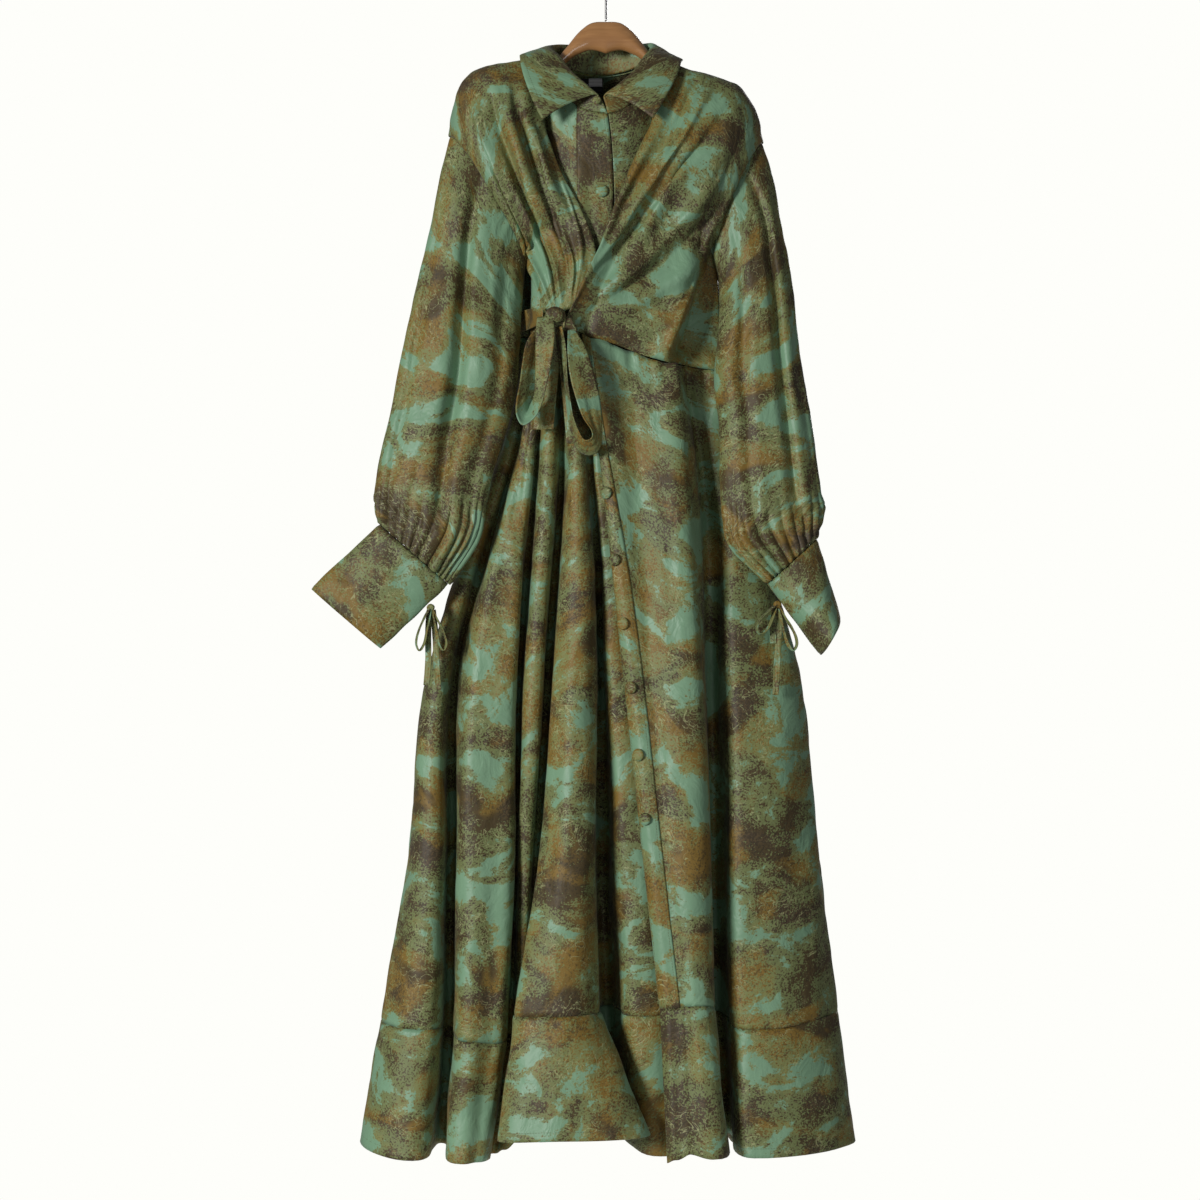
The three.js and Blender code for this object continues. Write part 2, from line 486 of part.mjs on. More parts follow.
// Level of the skirt: a curve over fold lines, where s counts lines from the first
function level(lines, at, s) {
  const i = Math.min(Math.floor(s), lines.length - 2);
  const a = at(lines[i]);
  const b = at(lines[i + 1]);
  const run = Math.hypot(b[0] - a[0], b[1] - a[1]);
  const heading = (k) => {
    const kind = lines[k].kind;
    const reach = ROUNDNESS[kind] * run;
    if (kind !== "side" && kind !== "flank") return [reach, 0];
    const before = at(lines[Math.max(k - 1, 0)]);
    const after = at(lines[Math.min(k + 1, lines.length - 1)]);
    return [0, Math.sign(after[1] - before[1]) * reach];
  };
  const from = heading(i);
  const to = heading(i + 1);
  const t = s - i;
  return [
    hermite(a[0], b[0], from[0], to[0], t),
    hermite(a[1], b[1], from[1], to[1], t),
    hermite(a[2], b[2], 0, 0, t),
  ];
}

const skirtSurface = (lines) => (u, v) => level(lines, (line) => foldAt(line, v), u * (lines.length - 1));
const flounceSurface = (lines) => (u, w) => level(lines, (line) => flounceAt(line, w), u * (lines.length - 1));

// Skirt panel and its flounce, apart at the waist, the seam and the side
function addSkirt(name, surface, flounce, columns) {
  const gap = SEAM_GAP / 900;
  const points = grid(surface, shares(columns), shares(SKIRT_ROWS).map((v) => gap + v * (1 - 2 * gap)));
  const drop = SEAM_GAP / 170;
  piece(`skirt_${name}`, wall(points, CLOTH));
  piece(`flounce_${name}`, wall(grid(flounce, shares(columns), [drop, 0.5, 1]), CLOTH));
  return points;
}

// The buttoned panel's shares of u, with its first columns kept inside the strip's width
function buttonedShare(u, v) {
  const count = SKIRT_RIGHT.length - 1;
  const run = foldAt(SKIRT_RIGHT[2], v)[0] - foldAt(SKIRT_RIGHT[0], v)[0];
  const inside = (2 * SKIRT_PLACKET_WIDTH) / run;
  const s = u * count;
  if (s >= 2) return u;
  return (s < 1 ? s * inside : inside + (s - 1) * (2 - inside)) / count;
}

function addSkirts() {
  addSkirt("front_left", skirtSurface(SKIRT_LEFT), flounceSurface(SKIRT_LEFT), (SKIRT_LEFT.length - 1) * FOLD_CELLS);
  addSkirt("back", skirtSurface(SKIRT_BACK), flounceSurface(SKIRT_BACK), (SKIRT_BACK.length - 1) * FOLD_CELLS);
  const panel = skirtSurface(SKIRT_RIGHT);
  const flounce = flounceSurface(SKIRT_RIGHT);
  const buttoned = (u, v) => panel(buttonedShare(u, v), v);
  const buttonedFlounce = (u, w) => flounce(buttonedShare(u, 1), w);
  return addSkirt("front_right", buttoned, buttonedFlounce, (SKIRT_RIGHT.length - 1) * FOLD_CELLS);
}

// Armhole seam at an angle from its top, positive on the front
function armhole(hole, angle) {
  const middle = mix(hole.top, hole.bottom, 0.5);
  const arm = minus(hole.top, middle);
  const bowed = plus(plus(middle, arm, Math.cos(angle)), hole.bow, Math.abs(Math.sin(angle)));
  return plus(bowed, [0, -1, 0], hole.depth * Math.sin(angle));
}

// Points down the front or back half of an armhole, moved towards the neck to leave the seam's gap
function armholeEdge(hole, side) {
  const towardsNeck = hole.top[0] < 0 ? 1 : -1;
  const apart = (t) => [towardsNeck * (0.8 + 2.7 * t * t), -side * SHOULDER_GAP, 0];
  return shares(6).map((t) => plus(armhole(hole, side * Math.PI * t), apart(t)));
}

// Rounding of the cloth over the hanger, steep at the shoulder seam and gone at the waist
function shoulderRound(u, v) {
  return SHOULDER_BULGE * Math.sin(Math.PI * v ** 0.35) * Math.sqrt(Math.max(4 * u * (1 - u), 0));
}

// Height of soft folds over a wrapped front
function foldHeight(folds, u, v) {
  return folds.reduce((sum, fold) => {
    const place = fold.from + (fold.to - fold.from) * v;
    const along = (v - fold.begin) / (fold.end - fold.begin);
    const share = along > 0 && along < 1 ? Math.sin(Math.PI * along) ** 0.7 : 0;
    return sum + fold.high * share * Math.exp(-(((u - place) / fold.wide) ** 2));
  }, 0);
}

// Bottom edges of the bodice: points of the skirt's waist edge, moved up by the seam's gap
function waistEdge(lines, lift = WAIST_GAP) {
  const points = shares((lines.length - 1) * 2).map((u) => skirtSurface(lines)(u, 0));
  return points.map((p) => plus(p, [0, 0, lift]));
}

// Shoulder seam of the front (-1) or back (1): the gap grows where the cloth turns down the sleeve head
function shoulderSeam(points, side) {
  const last = points.length - 1;
  return points.map((p, i) => plus(p, [0, side, 0], 0.5 + (SHOULDER_GAP - 0.5) * (i / last) ** 2));
}

function overlayLeft() {
  const shoulder = curve(shoulderSeam(SHOULDER_LEFT, -1));
  const edge = curve(OVERLAY_LEFT_EDGE);
  const outer = curve([...armholeEdge(ARMHOLE_LEFT, 1), ...OVERLAY_LEFT_TIE]);
  const base = patch(shoulder, curve([edge(1), outer(1)]), edge, outer);
  return (u, v) => plus(base(u, v), [0, -1, 0], shoulderRound(u, v) + foldHeight(FOLDS_LEFT, u, v));
}

function recessShare(u, v) {
  const { smoothstep } = THREE.MathUtils;
  const place = RECESS.from + (RECESS.to - RECESS.from) * v;
  const down = smoothstep(v, RECESS.begin, RECESS.full) * (1 - smoothstep(v, RECESS.fade, 1));
  return 0.9 * down * smoothstep(u, place, place + RECESS.wide);
}

function overlayRight() {
  const shoulder = curve(shoulderSeam(SHOULDER_RIGHT, -1));
  const waist = waistEdge(SKIRT_RIGHT, 1.4);
  const edge = curve(OVERLAY_RIGHT_EDGE);
  const outer = curve([...armholeEdge(ARMHOLE_RIGHT, 1), ...OVERLAY_RIGHT_SIDE, waist[waist.length - 1]]);
  const lower = curve([edge(1), OVERLAY_RIGHT_KNOT, ...waist]);
  const base = patch(shoulder, lower, edge, outer);
  return (u, v) => {
    const front = plus(base(u, v), [0, -1, 0], shoulderRound(u, v) + foldHeight(FOLDS_RIGHT, u, v));
    return plus(front, [0, 1, 0], recessShare(u, v) * Math.max(RECESS.depth - front[1], 0));
  };
}

function innerFront(neck, side, waist) {
  const neckLine = curve(neck.slice(0, 4).map((p) => plus(p, [0, 0, -2.2])));
  return patch(neckLine, curve(waist), curve(CENTRE_FRONT), curve(side));
}

function backBodice() {
  const backNeck = [...NECK_LEFT.slice(NECK_SIDE + 1), ...NECK_RIGHT.slice(NECK_SIDE + 1, -1).reverse()];
  const neck = backNeck.map((p) => plus(p, [0, 1.5, -1.5]));
  const shoulderLeft = curve(shoulderSeam(SHOULDER_LEFT, 1));
  const shoulderRight = curve(shoulderSeam(SHOULDER_RIGHT, 1));
  const across = curve([shoulderLeft(0), ...neck, shoulderRight(0)]);
  const top = (u) => {
    if (u < BACK_SHOULDER) return shoulderLeft(1 - u / BACK_SHOULDER);
    if (u > 1 - BACK_SHOULDER) return shoulderRight(1 - (1 - u) / BACK_SHOULDER);
    return across((u - BACK_SHOULDER) / (1 - 2 * BACK_SHOULDER));
  };
  const waist = waistEdge(SKIRT_BACK, 0.7);
  const left = curve([...armholeEdge(ARMHOLE_LEFT, -1), waist[0]]);
  const right = curve([...armholeEdge(ARMHOLE_RIGHT, -1), UNDER_ARM_RIGHT, waist[waist.length - 1]]);
  const base = patch(top, curve(waist), left, right);
  return (u, v) => {
    const neckShare = Math.exp(-(((u - 0.5) / 0.14) ** 2));
    return plus(base(u, v), [0, 1, 0], shoulderRound(u, v) * (1 - 0.8 * neckShare));
  };
}

function addBodice() {
  const us = shares(SHOULDER_CELLS);
  const vs = shares(12, 1.7);
  piece("overlay_left", wall(grid(overlayLeft(), us, vs), CLOTH));
  piece("overlay_right", wall(grid(overlayRight(), us, vs), CLOTH));
  const backRows = [...shares(9, 2), ARMPIT_ROW].sort((a, b) => a - b);
  piece("bodice_back", wall(grid(backBodice(), shares(BACK_CELLS), backRows), CLOTH));
  const left = innerFront(NECK_LEFT, INNER_SIDE_LEFT, waistEdge(SKIRT_LEFT).reverse());
  const leftPoints = grid((u, v) => left(placketShare(u, v), v), shares(FRONT_CELLS), shares(9));
  const waistRight = waistEdge(SKIRT_RIGHT, 4).slice(2, 7).map((p) => plus(p, [0, 7, 0]));
  const sideRight = [...INNER_SIDE_RIGHT.slice(0, -1), waistRight[waistRight.length - 1]];
  const right = innerFront(NECK_RIGHT, sideRight, waistRight);
  const rightEdge = (u, v) => right(0.06 + 0.94 * u, v);
  piece("shirt_front_left", wall(leftPoints, CLOTH));
  piece("shirt_front_right", wall(grid(rightEdge, shares(7), shares(9)), CLOTH));
  return leftPoints;
}

// The left front's shares of u, with its first columns kept inside the strip
function placketShare(u, v) {
  const edge = PLACKET_CELLS / FRONT_CELLS;
  const inside = BODICE_PLACKET_SHARE.neck + (BODICE_PLACKET_SHARE.waist - BODICE_PLACKET_SHARE.neck) * v;
  return u < edge ? (u / edge) * inside : inside + ((u - edge) / (1 - edge)) * (1 - inside);
}

// Strip made of a panel's first columns, moved out from the panel's own points
function stripOn(points, side) {
  return offset(points, side * (CLOTH + LAYER_GAP)).map((row) => row.slice(0, PLACKET_CELLS + 1));
}

function addBodicePlacket(front) {
  const points = stripOn(front, 1);
  piece("bodice_placket", wall(points, CLOTH));
  addButton("button_bodice", points, 1, 0.3, BODICE_BUTTON_AT);
}

function addSkirtPlacket(panel) {
  const points = stripOn(panel, -1);
  piece("skirt_placket", wall(points, CLOTH));
  SKIRT_BUTTONS_AT.forEach((down, i) => addButton(`button_skirt_${i + 1}`, points, -1, 0.5, down));
}

// Covered button on the outer side of a strip's grid, at shares across and down
function addButton(name, points, side, across, down) {
  const rows = points.length - 1;
  const cols = points[0].length - 1;
  const pick = (set) => {
    const j = Math.min(Math.floor(down * rows), rows - 1);
    const i = Math.min(Math.floor(across * cols), cols - 1);
    const upper = mix(set[j][i], set[j][i + 1], across * cols - i);
    const lower = mix(set[j + 1][i], set[j + 1][i + 1], across * cols - i);
    return mix(upper, lower, down * rows - j);
  };
  const outward = unit(pick(normals(points, false))).map((value) => value * side);
  const at = plus(pick(points), outward, CLOTH / 2 + BUTTON.clear);
  const outline = BUTTON.profile.map(([r, h]) => new THREE.Vector2(r * BUTTON.radius, h * BUTTON.high));
  const lathe = new THREE.LatheGeometry(outline, BUTTON.sides);
  const turn = new THREE.Quaternion().setFromUnitVectors(new THREE.Vector3(0, 1, 0), new THREE.Vector3(...outward));
  lathe.applyQuaternion(turn);
  lathe.translate(...at);
  lathe.deleteAttribute("normal");
  lathe.deleteAttribute("uv");
  const merged = mergeVertices(lathe, 1e-3);
  piece(name, facing([...merged.attributes.position.array], wholeFaces(merged.index.array)));
}

// Faces of an index with those of no area left out
function wholeFaces(index) {
  const kept = [];
  for (let f = 0; f < index.length; f += 3) {
    const [a, b, c] = [index[f], index[f + 1], index[f + 2]];
    if (a !== b && b !== c && c !== a) kept.push(a, b, c);
  }
  return kept;
}

// Share t kept off both ends by a margin
const within = (t, margin) => margin + (1 - 2 * margin) * t;

function addCollar() {
  const fold = curve(COLLAR_FOLD);
  const edge = curve(COLLAR_EDGE);
  const around = [...NECK_LEFT, ...NECK_RIGHT.slice(0, -1).reverse()];
  const seam = curve(around);
  const leaf = (u, v) => plus(mix(fold(u), edge(u), v), [0, 0, 1], COLLAR_ROLL * Math.sin(Math.PI * v) + COLLAR_LIFT);
  const inside = (p) => plus(p, unit([CENTRE_BACK - p[0], -p[1], 0]), STAND_INSET);
  const stand = (u, v) => inside(mix(seam(u), plus(fold(u), [0, 0, -STAND_DROP]), within(v, STAND_ENDS.up)));
  piece("collar_leaf", wall(grid(leaf, shares(28), shares(3).map((v) => COLLAR_FOLD_SHARE + (1 - COLLAR_FOLD_SHARE) * v)), BAND));
  const points = grid(stand, shares(28).map((u) => within(u, STAND_ENDS.around)), shares(2));
  piece("collar_stand", wall(points, CLOTH));
}

// Sleeve ring tables with the armhole as the first ring
function sleeveRings(hole, rows) {
  const away = hole.top[0] < 0 ? -1 : 1;
  const first = {
    outer: plus(hole.top, [away * 0.9, 0, -0.6]),
    inner: plus(hole.bottom, [away * 0.9, 0, -0.6]),
    half: hole.depth,
    gather: 0,
  };
  const all = [first, ...rows];
  const knots = shares(all.length - 1);
  const column = (pick) => (v) => smooth(knots, all.map(pick), v);
  const point = (key) => {
    const axes = [0, 1, 2].map((k) => column((row) => row[key][k]));
    return (v) => axes.map((axis) => axis(v));
  };
  return { outer: point("outer"), inner: point("inner"), half: column((row) => row.half), gather: column((row) => row.gather) };
}

// Point of a sleeve at an angle from its outer edge and a share of the way to the cuff
function sleevePoint(rings, hole, angle, v) {
  const outer = rings.outer(v);
  const inner = rings.inner(v);
  const middle = mix(outer, inner, 0.5);
  const arm = minus(outer, middle);
  const turned = (angle * 180) / Math.PI;
  const inward = SLEEVE_FOLDS.reduce((sum, fold) => {
    const place = fold.from + (fold.to - fold.from) * v;
    const apart = ((((turned - place + 180) % 360) + 360) % 360) - 180;
    return sum + fold.deep * Math.sin(Math.PI * Math.min(v * 1.1, 1)) ** 0.6 * Math.exp(-((apart / fold.wide) ** 2));
  }, 0);
  const gathers = Math.max(rings.gather(v), 0) * Math.cos(GATHERS * angle);
  const reach = rings.half(v) - inward + gathers;
  const bow = Math.abs(Math.sin(angle)) * Math.max(1 - v * 6, 0);
  const across = plus(middle, arm, Math.cos(angle) * (1 + gathers / 60));
  return plus(plus(across, [0, -1, 0], reach * Math.sin(angle)), hole.bow, bow);
}

function addSleeve(side, hole, rows) {
  const rings = sleeveRings(hole, rows);
  const angles = shares(36).slice(0, -1);
  const surface = (a, v) => sleevePoint(rings, hole, 2 * Math.PI * a, v);
  piece(`sleeve_${side}`, wall(grid(surface, angles, shares(10)), CLOTH, true));
}

// Cuff: a band from the sleeve seam to its opening, with a slit at its inner edge
function addCuff(side, cuff) {
  const gap = radians(cuff.slit);
  const surface = (a, v) => {
    const angle = -Math.PI + gap + a * (2 * Math.PI - 2 * gap);
    const outer = mix(cuff.seam.outer, cuff.opening.outer, v);
    const inner = mix(cuff.seam.inner, cuff.opening.inner, v);
    const middle = mix(outer, inner, 0.5);
    const across = plus(middle, minus(outer, middle), Math.cos(angle));
    return plus(across, [0, -1, 0], (cuff.seam.half + (cuff.opening.half - cuff.seam.half) * v) * Math.sin(angle));
  };
  const vs = shares(3);
  piece(`cuff_${side}`, wall(grid(surface, shares(24), vs), BAND));
}

// Strip of a width along a path; each row's turn is the angle of the width from +X towards the front
function strip(rows, width) {
  const path = curve(rows.map((row) => row.at));
  const knots = shares(rows.length - 1);
  const turn = (t) => radians(smooth(knots, rows.map((row) => row.turn), t));
  return (u, v) => {
    const angle = turn(v);
    return plus(path(v), [Math.cos(angle), -Math.sin(angle), 0], (u - 0.5) * width);
  };
}

// Loop between two rims given as rows, each from the knot round to the knot
function loop(rows) {
  const knots = shares(rows.length - 1);
  const rim = (key) => (t) => [0, 1, 2].map((k) => smooth(knots, rows.map((row) => row[key][k]), t));
  const near = rim("near");
  const far = rim("far");
  return (u, v) => mix(near(v), far(v), u);
}

// Knot: a rounded lump with a flat front
function lump(knot, sides = 10, rows = 6) {
  const sphere = new THREE.SphereGeometry(1, sides, rows);
  sphere.scale(...knot.size);
  sphere.translate(...knot.at);
  sphere.deleteAttribute("normal");
  sphere.deleteAttribute("uv");
  const merged = mergeVertices(sphere, 1e-3);
  return facing([...merged.attributes.position.array], wholeFaces(merged.index.array));
}

// Share of the way down a surface at which its column u reaches a height
function shareAtHeight(surface, u, height) {
  let low = 0;
  let high = 1;
  for (let i = 0; i < 24; i += 1) {
    const middle = (low + high) / 2;
    if (surface(u, middle)[2] > height) low = middle;
    else high = middle;
  }
  return low;
}

// Belt: the back's own points moved out, carried on round the left side to the knot
function addBelt() {
  const back = backBodice();
  const heights = [0.5, 0, -0.5].map((share) => share * TIE_WIDTH);
  const rows = heights.map((up) => shares(BACK_CELLS).map((u) => {
    return back(u, shareAtHeight(back, u, BELT_HEIGHT + up));
  }));
  const around = offset(rows, CLOTH + BELT_GAP);
  const front = curve(BELT_FRONT);
  const lead = shares(BELT_FRONT_CELLS).map((t) => front(t));
  const whole = around.map((row, j) => {
    const narrowed = lead.map((p, i) => plus(p, [0, 0, 1], heights[j] * (1 - BELT_PINCH * (1 - i / BELT_FRONT_CELLS))));
    return [...narrowed, ...row.slice(BELT_START, -1)];
  });
  piece("waist_belt", wall(whole, CLOTH));
}

function addWaistTie() {
  addBelt();
  const ribbon = (rows, steps) => wall(grid(strip(rows, TIE_WIDTH), shares(2), shares(steps)), CLOTH);
  const loops = [LOOP_LEFT, LOOP_RIGHT].map((rows) => wall(grid(loop(rows), shares(2), shares(20)), CLOTH));
  piece("waist_bow", join([lump(KNOT), ...loops, ribbon(TAIL_LEFT, 4), ribbon(TAIL_RIGHT, 4)]));
}

function addCuffTie(side, tie) {
  const ribbon = (points, turn, steps) => {
    const rows = points.map((at) => ({ at, turn }));
    return wall(grid(strip(rows, CUFF_TIE_WIDTH), shares(1), shares(steps)), CLOTH);
  };
  const loops = tie.loops.map((points) => ribbon(points, 70, 14));
  const tails = tie.tails.map((points) => ribbon(points, 10, 4));
  piece(`cuff_tie_${side}`, join([lump(tie.knot, 8, 5), ...loops, ...tails]));
}

// Flat piece inside the back neck
function plate(tag, y) {
  const box = new THREE.BoxGeometry(tag.wide, tag.thick, tag.high);
  box.translate(tag.x, y, tag.top - tag.high / 2);
  box.deleteAttribute("normal");
  box.deleteAttribute("uv");
  const merged = mergeVertices(box, 1e-3);
  return facing([...merged.attributes.position.array], [...merged.index.array]);
}

// Height of the shoulder seam at x
function shoulderHeight(x) {
  const points = x < 0 ? SHOULDER_LEFT : SHOULDER_RIGHT;
  const knots = points.map((p) => Math.abs(p[0]));
  return smooth(knots, points.map((p) => p[2]), Math.abs(x));
}

function addHanger() {
  const value = (rows, x) => smooth(rows.map((row) => row[0]), rows.map((row) => row[1]), x);
  const seam = HANGER_NECK[HANGER_NECK.length - 1][0];
  const ring = (x) => {
    const reach = Math.abs(x);
    const slope = (shoulderHeight(x + 1) - shoulderHeight(x - 1)) / 2;
    const under = shoulderHeight(x) - HANGER_CLEAR * Math.hypot(1, slope);
    const top = reach < seam ? value(HANGER_NECK, reach) : Math.min(under, value(HANGER_NECK, seam));
    const high = value(HANGER_HIGH, reach);
    const deep = value(HANGER_DEEP, reach);
    return shares(HANGER_SIDES).slice(0, -1).map((a) => {
      const angle = 2 * Math.PI * a;
      const rise = (1 + Math.cos(angle)) / 2;
      const taper = rise > 0.5 ? 1 - 0.45 * (2 * rise - 1) : 1;
      return [x, deep * Math.sin(angle) * taper, top - high * (1 - rise)];
    });
  };
  const stations = shares(HANGER_RINGS).map((t) => (2 * t - 1) * HANGER_REACH);
  piece("hanger_wood", loft(stations.map(ring)), WOOD);
  const { wire, radius, straight, sweep, sides, steps } = HOOK;
  const stem = new THREE.LineCurve3(new THREE.Vector3(0, 0, -63.6), new THREE.Vector3(0, 0, straight));
  const bend = [];
  for (let i = 0; i <= 12; i += 1) {
    const angle = radians(-90 + (sweep * i) / 12);
    bend.push(new THREE.Vector3(radius * Math.cos(angle), 0, wire + radius * (Math.sin(angle) - 1)));
  }
  const path = new THREE.CurvePath();
  path.add(stem);
  path.add(new THREE.CatmullRomCurve3(bend));
  const section = new THREE.Shape(shares(sides).slice(0, -1).map((a) => {
    return new THREE.Vector2(wire * Math.cos(2 * Math.PI * a), wire * Math.sin(2 * Math.PI * a));
  }));
  const wireBody = new THREE.ExtrudeGeometry(section, { steps, extrudePath: path, bevelEnabled: false });
  wireBody.deleteAttribute("normal");
  wireBody.deleteAttribute("uv");
  const merged = mergeVertices(wireBody, 1e-3);
  piece("hanger_hook", facing([...merged.attributes.position.array], wholeFaces(merged.index.array)), STEEL);
}

addHanger();
addCollar();
piece("neck_label", plate(LABEL, LABEL.y), BLACK);
piece("size_tab", plate(TAB, TAB.y), WHITE);
addBodicePlacket(addBodice());
addSkirtPlacket(addSkirts());
addSleeve("left", ARMHOLE_LEFT, SLEEVE_LEFT);
addSleeve("right", ARMHOLE_RIGHT, SLEEVE_RIGHT);
addCuff("left", CUFF_LEFT);
addCuff("right", CUFF_RIGHT);
addWaistTie();
addCuffTie("left", CUFF_TIE_LEFT);
addCuffTie("right", CUFF_TIE_RIGHT);

export default dress;
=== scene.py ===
"""Long wrap dress of mottled satin jacquard, hung on a wooden coat hanger.

Lengths are in millimetres in the same frame as the solids, and become metres in the meshes:
+Z up, the dress faces -Y, the origin is the inside top of the hanger's hook. Left and right
are the viewer's.
"""

from __future__ import annotations

import logging
import math
from dataclasses import dataclass
from enum import Enum
from typing import Callable, Iterable, Sequence

import bpy
import numpy as np
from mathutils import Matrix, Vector


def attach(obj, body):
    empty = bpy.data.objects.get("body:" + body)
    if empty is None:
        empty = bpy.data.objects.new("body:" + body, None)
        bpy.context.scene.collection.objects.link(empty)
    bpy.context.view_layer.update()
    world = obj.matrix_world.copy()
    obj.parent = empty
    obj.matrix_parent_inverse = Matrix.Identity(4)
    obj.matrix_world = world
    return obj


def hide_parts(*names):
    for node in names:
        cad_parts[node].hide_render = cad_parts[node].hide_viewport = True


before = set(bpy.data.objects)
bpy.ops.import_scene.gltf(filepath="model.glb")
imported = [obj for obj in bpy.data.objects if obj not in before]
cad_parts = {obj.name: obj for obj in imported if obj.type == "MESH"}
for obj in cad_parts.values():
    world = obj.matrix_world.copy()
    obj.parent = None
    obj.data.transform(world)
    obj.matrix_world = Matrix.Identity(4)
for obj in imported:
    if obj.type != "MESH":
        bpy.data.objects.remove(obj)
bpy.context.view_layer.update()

LOG = logging.getLogger("wrap_dress")
MM = 0.001
Socket = bpy.types.NodeSocket
Surface = Callable[[np.ndarray, np.ndarray], np.ndarray]
Path = Callable[[np.ndarray], np.ndarray]

# Wall of the cloth and of its double bands
CLOTH = 1.1
BAND = 1.9

# Skirt: levels as shares of the way from the waist seam to the flounce seam
LEVELS = (0.0, 0.176, 0.469, 0.75, 1.0)
# How far the cloth runs straight on at a fold line before it turns, as a share of the span
ROUNDNESS = {"side": 0.9, "crest": 1.25, "valley": 0.65, "flank": 0.8, "edge": 0.5, "end": 0.5}

# Fold lines: kind, x and y at the five levels and the hem, then the heights of waist, seam and hem
SKIRT_LEFT = (
    ("side", (-100, -140, -231, -260, -297, -325), (-1, -1, -1, -1, -1, -1), -480, -1382, -1540),
    ("crest", (-93, -130, -212, -228, -236, -250), (-14, -18, -36, -52, -64, -78), -479, -1385, -1552),
    ("valley", (-87, -120, -196, -204, -207, -218), (-17, -12, 0, 4, 6, 2), -478, -1392, -1545),
    ("crest", (-80, -107, -164, -171, -174, -186), (-28, -40, -62, -74, -84, -93), -477, -1398, -1553),
    ("crest", (-76.5, -100, -126, -134, -143, -166), (-31, -45, -60, -66, -72, -82), -476, -1402, -1553),
    ("valley", (-73, -93, -113, -117, -125, -147), (-34, -26, -10, -8, -16, -28), -476, -1400, -1553),
    ("crest", (-67, -74, -90, -103, -112, -132), (-42, -54, -62, -50, -40, -42), -475, -1395, -1545),
    ("valley", (-60, -59, -75, -92, -101, -118), (-42, -28, -14, -18, -30, -40), -475, -1380, -1535),
    ("flank", (-55, -51, -66, -84, -118, -139), (-46, -50, -66, -80, -94, -116), -475, -1362, -1518),
    ("crest", (-47, -38, -34, -44, -59, -46), (-52, -70, -96, -116, -128, -152), -475, -1358, -1512),
    ("flank", (-38, -27, -12, -16, -8, 56), (-50, -58, -66, -74, -84, -118), -475, -1358, -1510),
    ("valley", (-30, -20, -5, -4, 1, 8), (-46, -40, -22, -8, -2, -10), -476, -1362, -1530),
    ("crest", (-18, -12, 10, 28, 44, 70), (-48, -54, -66, -78, -84, -84), -478, -1365, -1545),
    ("end", (-5, 6, 44, 75, 94, 104), (-47, -52, -62, -70, -74, -76), -480, -1362, -1545),
)

SKIRT_RIGHT = (
    ("edge", (-31, -9, 19, 45, 69, 78), (-57, -64, -78, -92, -100, -106), -482, -1352, -1549),
    ("crest", (-18, 2, 33, 60, 83, 90), (-60, -69, -86, -102, -110, -116), -488, -1350, -1543),
    ("valley", (29, 40, 54, 79, 99, 107), (-52, -60, -84, -102, -112, -120), -503, -1348, -1535),
    ("crest", (80, 92, 101, 109, 114, 136), (-52, -74, -98, -112, -120, -126), -519, -1346, -1540),
    ("valley", (104, 130, 139, 144, 147, 158), (-14, -8, -3, -2, -2, -4), -520, -1370, -1530),
    ("crest", (128, 156, 172, 179, 184, 190), (-10, -20, -52, -72, -84, -96), -524, -1382, -1545),
    ("side", (150, 182, 255, 280, 306, 329), (-1, -1, -1, -1, -1, -1), -528, -1368, -1539),
)

SKIRT_BACK = (
    ("side", (-100, -140, -231, -260, -297, -325), (1, 1, 1, 1, 1, 1), -480, -1382, -1540),
    ("crest", (-108, -140, -190, -209, -232, -256), (16, 28, 48, 62, 74, 86), -483, -1378, -1548),
    ("valley", (-71, -92, -145, -164, -180, -199), (30, 26, 14, 6, 2, 2), -486, -1380, -1546),
    ("crest", (-55, -71, -100, -114, -127, -143), (40, 56, 80, 96, 112, 126), -489, -1372, -1552),
    ("valley", (-37, -42, -61, -66, -74, -87), (44, 42, 36, 28, 22, 20), -493, -1376, -1548),
    ("crest", (-16, -13, -13, -11, -8, -5), (46, 62, 86, 104, 118, 132), -498, -1370, -1553),
    ("valley", (8, 21, 32, 40, 53, 66), (44, 44, 38, 30, 24, 20), -503, -1375, -1548),
    ("crest", (32, 53, 77, 92, 108, 124), (46, 60, 84, 102, 116, 128), -508, -1371, -1551),
    ("valley", (65, 92, 129, 145, 164, 180), (38, 30, 18, 8, 4, 4), -515, -1378, -1546),
    ("crest", (112, 142, 193, 216, 238, 256), (26, 36, 54, 68, 80, 92), -522, -1376, -1548),
    ("side", (150, 182, 255, 280, 306, 329), (1, 1, 1, 1, 1, 1), -528, -1368, -1539),
)

# Points of seams and edges: x, y, z. Shoulder seams run from the neck to the sleeve head
SHOULDER_LEFT = (
    (-76, 0, -114.5), (-100, 0, -116), (-141, 0, -121), (-173, 0, -131), (-190, 0, -146), (-201, 0, -176),
    (-208.2, 0, -215),
)

SHOULDER_RIGHT = (
    (66, 0, -109.5), (82, 0, -116), (120, 0, -130), (156, 0, -141), (178, 0, -152), (195, 0, -178),
    (208.2, 0, -224),
)

# Neck seam from the centre front round to the centre back
NECK_LEFT = (
    (2, -50, -194), (-31, -46, -187), (-58, -34, -164), (-69, -17, -137), (-72, -10, -116), (-72, 0, -112.5),
    (-70, 11, -114), (-59, 24, -118), (-37, 34, -124), (-8, 38, -127),
)

NECK_RIGHT = (
    (2, -50, -194), (24, -46, -187), (48, -34, -162), (59, -17, -135), (62, -10, -108), (62, 0, -103.5),
    (61, 11, -104.5), (48, 25, -116), (22, 34, -124), (-8, 38, -127),
)

